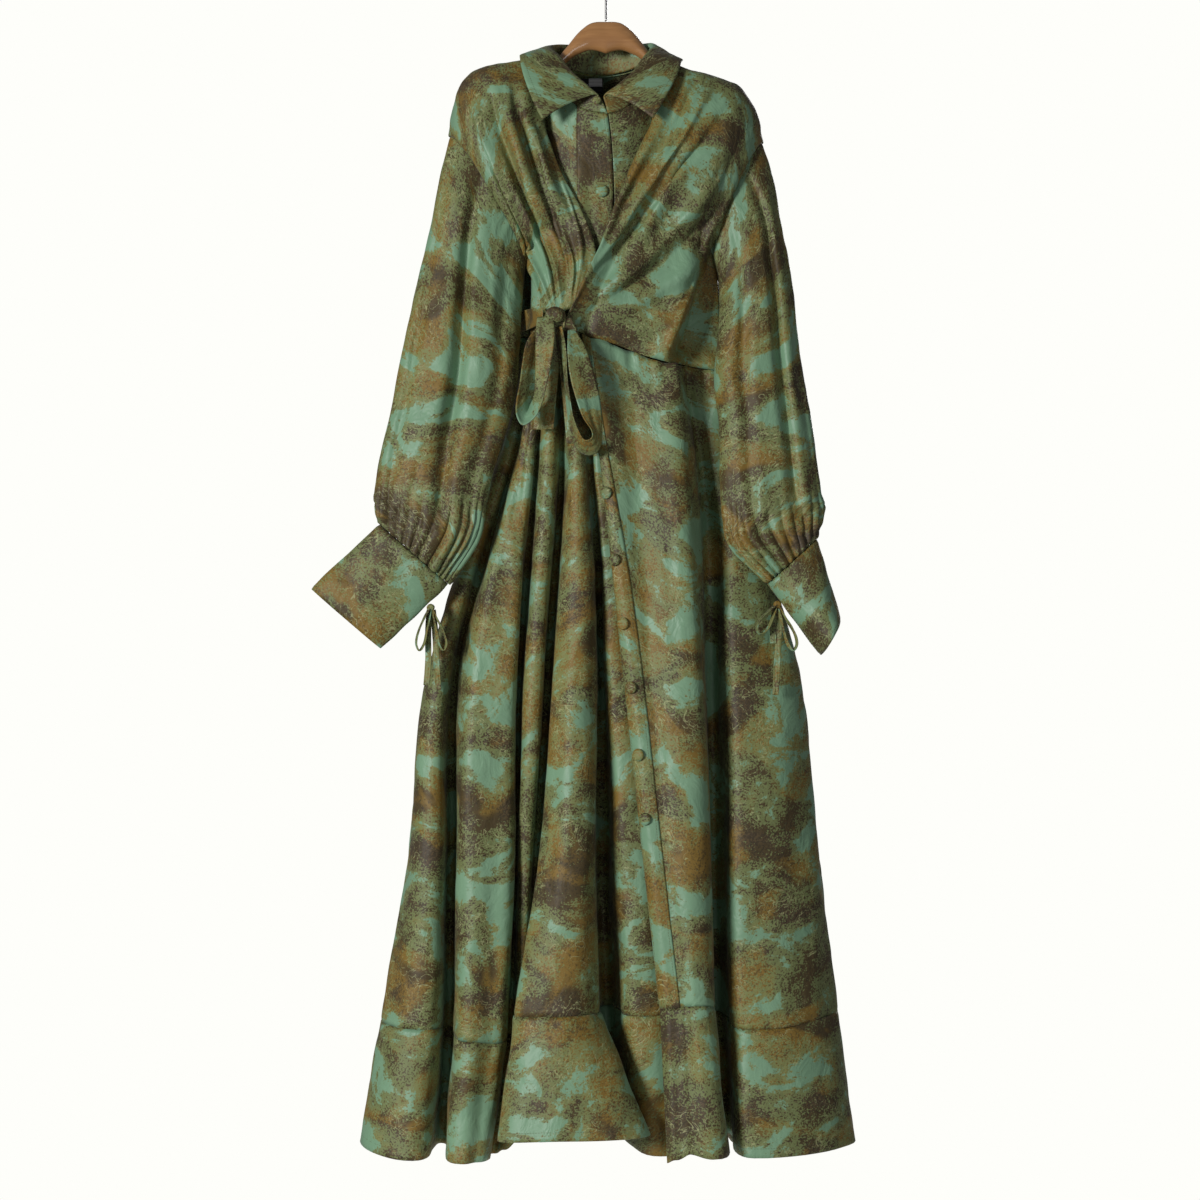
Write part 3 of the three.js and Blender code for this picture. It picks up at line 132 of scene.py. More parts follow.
# Wrapped fronts: front edge from the neck to the knot, then the lower end of the outer edge
OVERLAY_LEFT_EDGE = (
    (-76, -0.5, -114.5), (-77, -11, -118), (-78, -18, -134), (-80, -31, -163), (-80, -41, -203),
    (-57, -50, -270), (-34, -55, -314), (-16, -59, -360), (-13, -62, -393), (-29, -66, -441),
)

OVERLAY_LEFT_TIE = (
    (-94, -36, -416), (-80, -58, -449), (-71, -68, -461),
)

OVERLAY_RIGHT_EDGE = (
    (66, -0.5, -109.5), (67, -11, -114), (68, -18, -132), (66, -31, -163), (60, -42, -203), (40, -53, -245),
    (18, -61, -302), (-1, -66, -355), (-16, -70, -387), (-35, -73, -433), (-48, -75, -460),
)

OVERLAY_RIGHT_SIDE = (
    (149, -3, -432), (150, -2, -479),
)

OVERLAY_RIGHT_KNOT = (-56, -74, -474)

# Shirt fronts under the wrap: their common edge and the edges that lie under the wrapped fronts
CENTRE_FRONT = (
    (2, -50, -195), (6, -50, -229), (9, -49, -287), (8, -49, -360), (0, -48, -438), (-5, -47, -480),
)

INNER_SIDE_LEFT = (
    (-69, -14, -134), (-84, -17, -184), (-100, -14, -277), (-103, -9, -356), (-99, -5, -400), (-99, -3, -479),
)

INNER_SIDE_RIGHT = (
    (59, -14, -132), (70, -17, -184), (80, -20, -277), (82, -24, -356), (78, -30, -430), (66, -42, -498),
)

# Collar: the fold of the leaf over the stand, and its free edge, from the left point to the right one
COLLAR_FOLD = (
    (-9, -56, -170), (-24, -53, -158), (-42, -43, -141), (-61, -24, -115), (-72, 0, -98), (-60, 20, -91),
    (-36, 34, -88), (-8, 38, -87), (20, 34, -88), (46, 20, -90), (60, 0, -94), (50, -24, -115),
    (32, -43, -141), (13, -53, -158), (-3, -56, -170),
)

COLLAR_EDGE = (
    (-83, -72, -207), (-92, -66, -188), (-101, -57, -165), (-109, -43, -139), (-113, -22, -116),
    (-112, 0, -110), (-96, 38, -112), (-59, 58, -123), (-8, 64, -129), (43, 58, -123), (84, 38, -114),
    (101, 0, -116), (99, -22, -121), (93, -43, -143), (83, -57, -165), (72, -66, -186), (61, -72, -205),
)

# Belt from the knot round the left side to the back
BELT_FRONT = (
    (-81.5, -75.7, -461), (-90, -61, -460), (-100, -34, -460), (-106.5, -14, -460), (-115, 1, -460),
    (-114, 14, -460), (-108, 23, -460),
)

# Hanger by distance from its middle: top of the neck, then height and half depth of the wood
HANGER_NECK = (
    (0, -64), (14, -64.4), (24, -68), (38, -80), (50, -95), (58, -104.5), (66, -112.5), (76, -118),
)

HANGER_HIGH = (
    (0, 42), (30, 32), (58, 19), (100, 24), (150, 22), (182, 12),
)

HANGER_DEEP = (
    (0, 9), (30, 9), (58, 8), (80, 8), (120, 11), (150, 12), (182, 7),
)

# Sleeve rings: outermost point, innermost point, half depth, gathers' height
SLEEVE_LEFT = (
    ((-219, -4, -267), (-110, -6, -413), 33, 0),
    ((-232, -10, -341), (-113, -16, -453), 34, 0),
    ((-247, -18, -407), (-114, -27, -493), 34, 0),
    ((-263, -28, -487), (-117, -38, -546), 32, 0),
    ((-277, -38, -566), (-130, -48, -599), 30, 0),
    ((-291, -46, -632), (-145, -54, -648), 28, 0),
    ((-298, -51, -678), (-156, -58, -698), 27, 0.3),
    ((-299, -54, -706), (-166, -60, -748), 25, 2),
    ((-294, -56, -729), (-204, -60, -807), 18, 2.6),
)

SLEEVE_RIGHT = (
    ((222, -4, -276), (154, -6, -410), 33, 0),
    ((234, -10, -348), (154, -16, -444), 34, 0),
    ((244, -18, -414), (151, -27, -487), 34, 0),
    ((253, -28, -490), (147, -38, -540), 32, 0),
    ((263, -38, -566), (147, -48, -599), 30, 0),
    ((272, -46, -629), (148, -54, -658), 28, 0),
    ((280, -51, -684), (152, -58, -717), 27, 0.3),
    ((282, -54, -712), (162, -60, -758), 26, 2),
    ((273, -56, -748), (209, -60, -806), 26, 2.6),
)

# Bow: points of the loops' near and far rims, then middle lines of the ends
LOOP_LEFT = (
    ((-68.4, -86, -460.6), (-89, -86, -463.2)), ((-66.3, -98, -487.6), (-90.7, -90, -488.1)),
    ((-70, -103, -520.1), (-90.6, -93, -519.2)), ((-77, -106, -555), (-91.4, -94, -547.6)),
    ((-83.4, -107, -579.3), (-92.7, -93, -565.5)), ((-92.4, -107, -594.7), (-96.7, -89, -574.2)),
    ((-106.5, -106, -603.6), (-98.1, -84, -576.4)), ((-114.2, -104, -593.2), (-95.6, -81, -572.3)),
    ((-115.5, -102, -576.4), (-93, -80, -564.5)), ((-110.5, -99, -546.7), (-87.9, -80, -542.5)),
    ((-107.4, -96, -522.1), (-85.3, -79, -519.2)), ((-101.7, -92, -494.7), (-84, -79, -494.7)),
    ((-85.1, -87, -471), (-76.2, -81, -473)),
)

LOOP_RIGHT = (
    ((-56.8, -88, -475), (-63.4, -80, -476.8)), ((-51.5, -96, -506.7), (-60.2, -76, -504.8)),
    ((-50.2, -100, -539.1), (-56.3, -75, -533.1)), ((-47, -103, -565), (-53.1, -76, -559)),
    ((-42.5, -104, -591.9), (-50.5, -78, -585)), ((-34.8, -104, -612.4), (-45.3, -80, -610.9)),
    ((-27.1, -104, -622.7), (-36.3, -82, -634.2)), ((-18.1, -105, -618.9), (-18.2, -84, -640.8)),
    ((-19.4, -106, -608.7), (-6.6, -88, -628.1)), ((-29.7, -106, -593.4), (-5.3, -91, -601.3)),
    ((-38, -104, -571.4), (-7.9, -93, -570.6)), ((-45.7, -102, -543.1), (-15.6, -94, -537.3)),
    ((-49.6, -98, -510.7), (-25.9, -91, -503.6)), ((-49.1, -89, -480.3), (-41.4, -84, -478.5)),
)

TAIL_LEFT = (
    (-67, -80, -464, 4), (-71, -76, -490, 4), (-77, -73, -540, 6), (-83, -73, -607, 8),
)

TAIL_RIGHT = (
    (-60, -81, -464, 0), (-50, -77, -488, 0), (-42, -78, -560, 4), (-36, -82, -626, 6),
)

# Cuff ties: knot, middle lines of the two loops, middle lines of the two ends
CUFF_TIE_LEFT = (
    (-227.6, -61, -837.3),
    (
        (
            (-229, -62, -839), (-236, -66, -852), (-243, -68, -868), (-246, -68, -884), (-242, -67, -893),
            (-236, -66, -884), (-232, -65, -864), (-228, -62, -842),
        ),
        (
            (-226, -62, -839), (-219, -66, -852), (-211, -68, -868), (-207, -68, -884), (-211, -67, -893),
            (-217, -66, -884), (-221, -65, -864), (-226, -62, -842),
        ),
    ),
    (
        (
            (-229, -60, -840), (-231, -59, -868), (-231, -59, -906), (-233, -59, -938),
        ),
        (
            (-225, -60, -840), (-222, -59, -868), (-220, -59, -910), (-218, -59, -944),
        ),
    ),
)

CUFF_TIE_RIGHT = (
    (222.5, -61, -833.2),
    (
        (
            (221, -62, -834), (212, -66, -841), (201, -69, -851), (195, -70, -862), (198, -70, -871),
            (207, -69, -867), (214, -66, -855), (220, -62, -838),
        ),
        (
            (223, -62, -835), (232, -70, -850), (242, -78, -868), (246, -82, -884), (241, -82, -893),
            (234, -79, -884), (228, -72, -862), (223, -62, -839),
        ),
    ),
    (
        (
            (221, -61, -836), (217, -60, -856), (217, -60, -884),
        ),
        (
            (223, -60, -836), (224, -60, -870), (222, -60, -912), (220, -60, -951),
        ),
    ),
)

# Folds of the wrapped fronts: place across at the top and the bottom, height, width, and where
# they begin and end down the front
FOLDS_LEFT = (
    (0.16, 0.22, 6, 0.06, 0.1, 0.95), (0.38, 0.45, 8, 0.07, 0.05, 0.95), (0.62, 0.72, 6, 0.07, 0.1, 0.9),
)

FOLDS_RIGHT = (
    (0.14, 0.03, 5, 0.04, 0.15, 0.98), (0.3, 0.08, 7, 0.05, 0.15, 0.95), (0.52, 0.2, 7, 0.06, 0.2, 0.9),
    (1.17, 0.6, 10, 0.05, 0.4, 1),
)

# Long folds of a sleeve: degrees round from the outer edge at the head and at the cuff, depth, width
SLEEVE_FOLDS = (
    (66, 116, 11, 11), (30, 42, 5, 10), (-70, -105, 10, 12), (-130, -140, 5, 10),
)

# Armholes: top, bottom, half depth and how far the seam bows towards the neck
ARMHOLES = {
    "left": ((-209, 0, -215), (-108, 0, -386), 30, (9, 0, 5)),
    "right": ((209, 0, -224), (147, 0, -382), 30, (-14, 0, -2)),
}
# Side seams of the back under the armholes, where the cloth stands out behind the sleeves
UNDER_ARM_LEFT = ((-116, 4, -434),)
UNDER_ARM_RIGHT = ((147.5, 3, -396), (155, 5, -438))
# How far a sleeve's head runs in under the bodice's edge
TUCK = 3.0
# How much nearer to the body the right sleeve's inner edge lies than its solid's, from the arm to the elbow
INNER_SHIFT = 5.0
# Each side's half of the gap in the shoulder seam at the sleeve head, and how far a shoulder rounds out
SHOULDER_GAP = 0.9
SHOULDER_BULGE = 20
# Share of the back's width that a shoulder takes, and the neck point where front and back meet
BACK_SHOULDER = 0.4
NECK_SIDE = 5
# Width of the bodice strip at its top and bottom, as shares of the left shirt front
PLACKET_SHARE = (0.4, 0.26)
SKIRT_PLACKET_WIDTH = 25
# Buttons by share of the strip's length, and how far their backs stand off the strip's middle
SKIRT_BUTTONS = (0.235, 0.335, 0.43, 0.525, 0.625, 0.72)
BODICE_BUTTON = 0.36
BUTTON_LIFT = 1.2


def hermite(a: np.ndarray, b: np.ndarray, from_a: np.ndarray, to_b: np.ndarray, t: np.ndarray) -> np.ndarray:
    """Cubic from a to b with the given slopes at its ends.

    Args:
        a: value at t = 0.
        b: value at t = 1.
        from_a: slope at t = 0.
        to_b: slope at t = 1.
        t: share of the way, 0 to 1.

    Returns:
        The value at t.
    """
    t2, t3 = t * t, t * t * t
    return a * (2 * t3 - 3 * t2 + 1) + b * (3 * t2 - 2 * t3) + from_a * (t3 - 2 * t2 + t) + to_b * (t3 - t2)


def smooth_step(t: np.ndarray) -> np.ndarray:
    """0 below 0, 1 above 1, and a soft step between."""
    share = np.clip(t, 0, 1)
    return share * share * (3 - 2 * share)


def smooth(knots: Sequence[float], values: np.ndarray, t: np.ndarray) -> np.ndarray:
    """Smooth values at t through values at rising knots.

    Each span is a cubic whose slope at a knot is that of the line between the knot's neighbours.

    Args:
        knots: n rising numbers.
        values: n rows of values.
        t: where to read, any shape.

    Returns:
        Values with t's shape, followed by the shape of one row.
    """
    k = np.asarray(knots, float)
    v = np.asarray(values, float).reshape(len(k), -1)
    t = np.asarray(t, float)
    i = np.searchsorted(k[1:-1], t, side="left")
    before = np.maximum(np.arange(len(k)) - 1, 0)
    after = np.minimum(np.arange(len(k)) + 1, len(k) - 1)
    slopes = (v[after] - v[before]) / (k[after] - k[before])[:, None]
    span = (k[i + 1] - k[i])[..., None]
    share = ((t - k[i])[..., None]) / span
    return hermite(v[i], v[i + 1], slopes[i] * span, slopes[i + 1] * span, share)


def column(knots: Sequence[float], values: Sequence[float], t: np.ndarray) -> np.ndarray:
    """One smooth number at t, as smooth() reads it."""
    return smooth(knots, np.asarray(values, float), t)[..., 0]


def curve(points: Iterable[Sequence[float]]) -> Path:
    """Smooth curve through points, run from 0 to 1 by the length of its chords.

    Args:
        points: the points in order.

    Returns:
        A function of the share of the way.
    """
    p = np.asarray(list(points), float)
    knots = np.concatenate([[0], np.cumsum(np.linalg.norm(np.diff(p, axis=0), axis=1))])
    return lambda t: smooth(knots, p, np.asarray(t, float) * knots[-1])


def patch(top: Path, bottom: Path, near: Path, far: Path) -> Surface:
    """Surface between four edges: the two blends of facing edges, less the flat one of the corners.

    Args:
        top: edge along u at v = 0.
        bottom: edge along u at v = 1.
        near: edge along v at u = 0.
        far: edge along v at u = 1.

    Returns:
        The surface as a function of u and v.
    """
    zero, one = np.zeros(()), np.ones(())
    c00, c10, c01, c11 = top(zero), top(one), bottom(zero), bottom(one)

    def surface(u: np.ndarray, v: np.ndarray) -> np.ndarray:
        """Point of the patch at u and v."""
        s, t = u[..., None], v[..., None]
        across = near(v) * (1 - s) + far(v) * s
        down = top(u) * (1 - t) + bottom(u) * t
        flat = (c00 * (1 - s) + c10 * s) * (1 - t) + (c01 * (1 - s) + c11 * s) * t
        return across + down - flat

    return surface


def lattice(surface: Surface, us: np.ndarray, vs: np.ndarray) -> np.ndarray:
    """Points of a surface over every pair of us (columns) and vs (rows)."""
    u, v = np.meshgrid(us, vs)
    return surface(u, v)


def shares(count: int, power: float = 1.0) -> np.ndarray:
    """Numbers from 0 to 1 in count steps, drawn towards 0 by a power over 1."""
    return np.linspace(0, 1, count + 1) ** power


def normals(points: np.ndarray, closed: bool = False) -> np.ndarray:
    """Unit normals of a grid: the cross product of its slopes along the rows and down the columns.

    Args:
        points: grid of points, rows by columns by 3.
        closed: whether the last column repeats the first.

    Returns:
        A unit vector for each point.
    """
    if closed:
        wide = np.concatenate([points[:, -2:-1], points, points[:, 1:2]], axis=1)
        along = (wide[:, 2:] - wide[:, :-2]) / 2
    else:
        along = np.gradient(points, axis=1)
    n = np.cross(along, np.gradient(points, axis=0))
    return n / np.maximum(np.linalg.norm(n, axis=2, keepdims=True), 1e-9)


def cloth_map(points: np.ndarray) -> np.ndarray:
    """Places on the cloth in metres: arc length across from the middle column, and down.

    Args:
        points: grid of points in millimetres.

    Returns:
        Two numbers for each point.
    """
    across = np.linalg.norm(np.diff(points, axis=1), axis=2)
    s = np.concatenate([np.zeros((len(points), 1)), np.cumsum(across, axis=1)], axis=1)
    s -= s[:, s.shape[1] // 2][:, None]
    down = np.linalg.norm(np.diff(points, axis=0), axis=2).mean(axis=1)
    t = np.concatenate([[0], np.cumsum(down)])[:, None] + np.zeros_like(s)
    return np.stack([s, -t], axis=2) * MM


def ripples(place: np.ndarray, size: float, seed: int, stretch: float = 1.0, count: int = 14) -> np.ndarray:
    """Uneven soft waves: the mean of sines of random heading, length and phase, about 1 high.

    Args:
        place: places on the cloth in metres, as cloth_map gives them.
        size: mean length of a wave across, in millimetres.
        seed: number that fixes the waves.
        stretch: how many times longer the waves are down the cloth than across it.
        count: number of sines.

    Returns:
        One height for each place.
    """
    rng = np.random.default_rng(seed)
    heading = rng.uniform(0, 2 * math.pi, count)
    length = size * MM * rng.uniform(0.6, 1.7, count)
    phase = rng.uniform(0, 2 * math.pi, count)
    s, t = place[..., 0][..., None], place[..., 1][..., None] / stretch
    waves = np.sin(2 * math.pi * (s * np.cos(heading) + t * np.sin(heading)) / length + phase)
    return waves.sum(axis=-1) * math.sqrt(2 / count) / 1.6


def crease(place: np.ndarray, ends: Sequence[float], wide: float, high: float, bend: float = 0.0) -> np.ndarray:
    """Soft ridge (or trough) along a line on the cloth: a bell across it that dies away at both ends.

    Args:
        place: places on the cloth in metres.
        ends: start and end of the line, across and down, in millimetres from the map's origin.
        wide: width of the bell in millimetres.
        high: height in millimetres, below 0 for a trough.
        bend: how far the line's middle bows sideways, in millimetres.

    Returns:
        One height for each place.
    """
    a = np.array(ends[:2], float) * MM
    b = np.array(ends[2:], float) * MM
    run = b - a
    whole = np.linalg.norm(run)
    rel = place - a
    along = (rel @ run) / whole**2
    side = (rel[..., 0] * -run[1] + rel[..., 1] * run[0]) / whole
    side = side - bend * MM * np.sin(math.pi * np.clip(along, 0, 1))
    fade = np.sin(math.pi * np.clip(along, 0, 1)) ** 0.6
    return high * fade * np.exp(-((side / (wide * MM)) ** 2))


def srgb(code: str) -> tuple[float, float, float, float]:
    """Linear colour of an sRGB hex code: each channel by the standard's curve."""
    channel = [int(code[i : i + 2], 16) / 255 for i in (0, 2, 4)]
    linear = [c / 12.92 if c <= 0.04045 else ((c + 0.055) / 1.055) ** 2.4 for c in channel]
    return (linear[0], linear[1], linear[2], 1.0)


def add_node(tree: bpy.types.NodeTree, kind: str, values: dict | None = None, links: dict | None = None,
             **settings: object) -> bpy.types.Node:
    """Adds a shader node.

    Args:
        tree: the material's or world's tree.
        kind: Blender's name of the node.
        values: socket values by socket name or number.
        links: output sockets to join, by input socket name or number.
        settings: the node's own properties.

    Returns:
        The node.
    """
    node = tree.nodes.new(kind)
    for name, value in settings.items():
        setattr(node, name, value)
    for name, value in (values or {}).items():
        node.inputs[name].default_value = value
    for name, source in (links or {}).items():
        tree.links.new(source, node.inputs[name])
    return node


def blank_material(name: str) -> tuple[bpy.types.Material, bpy.types.NodeTree, bpy.types.Node]:
    """A new material with only its shader and output: (material, tree, shader)."""
    material = bpy.data.materials.new(name)
    material.use_nodes = True
    return material, material.node_tree, material.node_tree.nodes["Principled BSDF"]


@dataclass(frozen=True)
class SatinJacquard:
    """Polyester satin jacquard, woven in patches of plain green satin and stippled brown and ochre.

    The green patches are smooth and catch the light, the figured ones are broken up by short threads
    of the other colours and read as duller and slightly raised.
    """

    name: str = "polyester_satin_jacquard"
    green: str = "64866a"
    green_light: str = "7a9c7c"
    brown: str = "44371a"
    mauve: str = "51422a"
    ochre: str = "765d22"
    dark: str = "1f1b0f"
    khaki: str = "737f4e"
    vein: str = "9c9f70"
    blotch_mm: float = 62.0
    tone_mm: float = 95.0
    stipple_mm: float = 2.5
    vein_mm: float = 24.0
    thread_mm: float = 0.9

    def build(self) -> bpy.types.Material:
        """Builds the material on each piece's own cloth map, whose unit is the metre.

        Returns:
            The material.
        """
        material, tree, shader = blank_material(self.name)
        place = add_node(tree, "ShaderNodeUVMap", uv_map="cloth").outputs["UV"]

        def noise(size_mm: float, detail: float, wide: float = 1.0, twist: float = 0.0, shift: float = 0.0,
                  rough: float = 0.55) -> Socket:
            """Noise with features of a size in millimetres, drawn out across by wide."""
            scaled = add_node(
                tree, "ShaderNodeMapping",
                {"Location": (shift, shift * 0.7, shift * 0.3), "Scale": (1 / wide, 1, 1)}, {"Vector": place},
            )
            values = {"Scale": 1000 / size_mm, "Detail": detail, "Roughness": rough, "Distortion": twist}
            return add_node(tree, "ShaderNodeTexNoise", values, {"Vector": scaled.outputs[0]}).outputs["Fac"]

        def band(source: Socket, low: float, high: float) -> Socket:
            """0 below low, 1 above high, and a soft step between."""
            node = add_node(
                tree, "ShaderNodeMapRange", {1: low, 2: high}, {0: source}, interpolation_type="SMOOTHSTEP",
            )
            return node.outputs[0]

        def math_node(operation: str, a: Socket | float, b: Socket | float) -> Socket:
            """One sum, product or other of two sockets or numbers."""
            node = add_node(tree, "ShaderNodeMath", operation=operation)
            for i, value in enumerate((a, b)):
                if isinstance(value, (int, float)):
                    node.inputs[i].default_value = value
                else:
                    tree.links.new(value, node.inputs[i])
            return node.outputs[0]

        def blend(share: Socket, a: Socket | tuple, b: Socket | tuple) -> Socket:
            """Colour a where share is 0 and b where it is 1."""
            node = add_node(tree, "ShaderNodeMix", data_type="RGBA")
            tree.links.new(share, node.inputs[0])
            for i, value in ((6, a), (7, b)):
                if isinstance(value, tuple):
                    node.inputs[i].default_value = value
                else:
                    tree.links.new(value, node.inputs[i])
            return node.outputs[2]

        blotch = noise(self.blotch_mm, 5.0, 1.35, 0.5, rough=0.6)
        tone = noise(self.tone_mm, 3.0, 1.1, 0.6, 3.7)
        shade = noise(self.tone_mm * 0.8, 3.0, 1.2, 0.5, 9.3)
        grain = noise(self.stipple_mm, 1.5, 1.0, 0.0, 7.1)
        coarse = noise(self.stipple_mm * 2.4, 2.0, 1.0, 1.2, 11.3)
        vein = noise(self.vein_mm, 2.5, 1.2, 1.6, 5.9)
        vein_zone = noise(self.tone_mm * 0.7, 1.0, 1.0, 0.0, 17.0)

        speck = math_node("ADD", math_node("MULTIPLY", grain, 0.62), math_node("MULTIPLY", coarse, 0.38))
        ragged = math_node("ADD", blotch, math_node("MULTIPLY", math_node("SUBTRACT", speck, 0.5), 0.16))
        plain = band(ragged, 0.55, 0.578)
        near = math_node("MULTIPLY", math_node("SUBTRACT", blotch, 0.47), 1.3)
        dots = band(math_node("ADD", speck, near), 0.47, 0.55)
        dark_grain = noise(self.stipple_mm * 1.2, 2.0, 1.0, 0.8, 23.0)
        darker = math_node("MULTIPLY", math_node("SUBTRACT", shade, 0.5), 0.7)
        dark_dots = band(math_node("ADD", dark_grain, darker), 0.52, 0.6)
        line = math_node("ABSOLUTE", math_node("SUBTRACT", vein, 0.5), 0.0)
        drawn = band(math_node("SUBTRACT", 0.014, line), 0.0, 0.012)
        thread = math_node("MULTIPLY", drawn, band(vein_zone, 0.46, 0.54))

        warm = blend(band(tone, 0.44, 0.55), srgb(self.brown), srgb(self.ochre))
        warm = blend(band(shade, 0.54, 0.64), warm, srgb(self.mauve))
        warm = blend(math_node("MULTIPLY", dark_dots, 0.55), warm, srgb(self.dark))
        mottled = blend(math_node("MULTIPLY", dots, 0.72), warm, srgb(self.khaki))
        mottled = blend(math_node("MULTIPLY", thread, 0.7), mottled, srgb(self.vein))
        greens = blend(noise(70.0, 2.0, 2.0, 0.3, 31.0), srgb(self.green), srgb(self.green_light))
        colour = blend(plain, mottled, greens)
        tree.links.new(colour, shader.inputs["Base Color"])

        rough = add_node(tree, "ShaderNodeMapRange", {1: 0.0, 2: 1.0, 3: 0.6, 4: 0.48}, {0: plain}).outputs[0]
        tree.links.new(rough, shader.inputs["Roughness"])
        shader.inputs["Specular IOR Level"].default_value = 0.38
        shader.inputs["Sheen Weight"].default_value = 0.08
        shader.inputs["Sheen Roughness"].default_value = 0.45

        # Twill threads are 0.3 mm apart on the real cloth; they are drawn three times as coarse to show
        threads = noise(self.thread_mm, 1.0, 2.5, 0.0, 41.0)
        raised_threads = math_node("ADD", math_node("MULTIPLY", speck, 0.6), math_node("MULTIPLY", threads, 0.25))
        crumple = noise(34.0, 3.0, 0.7, 0.6, 53.0)
        fine = add_node(tree, "ShaderNodeBump", {"Strength": 0.35, "Distance": 0.0006}, {"Height": raised_threads})
        soft = add_node(
            tree, "ShaderNodeBump", {"Strength": 0.6, "Distance": 0.005},
            {"Height": crumple, "Normal": fine.outputs[0]},
        )
        tree.links.new(soft.outputs[0], shader.inputs["Normal"])
        return material


@dataclass(frozen=True)
class LacqueredBeech:
    """Beech stained honey brown under clear lacquer: fine long grain and a glossy coat."""

    name: str = "lacquered_beech"
    light: str = "b98a58"
    dark: str = "83572f"
    grain_mm: float = 5.0

    def build(self) -> bpy.types.Material:
        """Builds the material on Object coordinates, with the grain along X."""
        material, tree, shader = blank_material(self.name)
        place = add_node(tree, "ShaderNodeTexCoord").outputs["Object"]
        drawn = add_node(tree, "ShaderNodeMapping", {"Scale": (0.06, 1, 1)}, {"Vector": place}).outputs[0]
        grain = add_node(
            tree, "ShaderNodeTexNoise",
            {"Scale": 1000 / self.grain_mm, "Detail": 4, "Roughness": 0.6, "Distortion": 0.4}, {"Vector": drawn},
        ).outputs["Fac"]
        mix = add_node(
            tree, "ShaderNodeMix", {6: srgb(self.dark), 7: srgb(self.light)}, {0: grain}, data_type="RGBA",
        )
        tree.links.new(mix.outputs[2], shader.inputs["Base Color"])
        shader.inputs["Roughness"].default_value = 0.3
        shader.inputs["Coat Weight"].default_value = 0.8
        shader.inputs["Coat Roughness"].default_value = 0.08
        bump = add_node(tree, "ShaderNodeBump", {"Strength": 0.1, "Distance": 0.0004}, {"Height": grain})
        tree.links.new(bump.outputs[0], shader.inputs["Normal"])
        return material


@dataclass(frozen=True)
class PlatedSteel:
    """Nickel-plated steel wire, drawn and polished: bright, with faint marks along the wire."""

    name: str = "nickel_plated_steel"
    tint: str = "c9c9c6"
    marks_mm: float = 1.2

    def build(self) -> bpy.types.Material:
        """Builds the material on Object coordinates."""
        material, tree, shader = blank_material(self.name)
        place = add_node(tree, "ShaderNodeTexCoord").outputs["Object"]
        marks = add_node(
            tree, "ShaderNodeTexNoise", {"Scale": 1000 / self.marks_mm, "Detail": 2}, {"Vector": place},
        ).outputs["Fac"]
        rough = add_node(tree, "ShaderNodeMapRange", {3: 0.16, 4: 0.3}, {0: marks}).outputs[0]
        shader.inputs["Base Color"].default_value = srgb(self.tint)
        shader.inputs["Metallic"].default_value = 1.0
        tree.links.new(rough, shader.inputs["Roughness"])
        return material


@dataclass(frozen=True)
class WovenTape:
    """Close-woven polyester tape, as labels and sewing thread are made of: matt, with fine ribs."""

    name: str
    tint: str
    rib_mm: float = 0.7

    def build(self) -> bpy.types.Material:
        """Builds the material on Object coordinates, with ribs across Z and painted shade in the troughs between them.
        """
        material, tree, shader = blank_material(self.name)
        place = add_node(tree, "ShaderNodeTexCoord").outputs["Object"]
        ribs = add_node(
            tree, "ShaderNodeTexWave", {"Scale": 1000 / self.rib_mm / 20, "Distortion": 0.6, "Detail": 1},
            {"Vector": place}, bands_direction="Z",
        ).outputs["Fac"]
        base = srgb(self.tint)
        # Painted shade: the troughs between the ribs get a darker copy of the tint, on top of the ribs' bump
        shade = tuple(c * 0.78 for c in base[:3]) + (1.0,)
        mix = add_node(tree, "ShaderNodeMix", {6: shade, 7: base}, {0: ribs}, data_type="RGBA")
        tree.links.new(mix.outputs[2], shader.inputs["Base Color"])
        shader.inputs["Roughness"].default_value = 0.75
        bump = add_node(tree, "ShaderNodeBump", {"Strength": 0.3, "Distance": 0.0003}, {"Height": ribs})
        tree.links.new(bump.outputs[0], shader.inputs["Normal"])
        return material


class Finish(Enum):
    """The finishes of the dress and its hanger."""

    CLOTH = SatinJacquard()
    WOOD = LacqueredBeech()
    STEEL = PlatedSteel()
    THREAD = WovenTape("sewing_thread", "5a5a3c")
    BLACK_TAPE = WovenTape("black_label_tape", "1b1b1e")
    WHITE_TAPE = WovenTape("white_label_tape", "dfe2e6")

    def material(self) -> bpy.types.Material:
        """The finish's material, built when first asked for."""
        return bpy.data.materials.get(self.value.name) or self.value.build()


class Held(Enum):
    HUNG = "hung"
    GATHERED = "gathered"
    FOLDED = "folded"
    STRETCHED = "stretched"


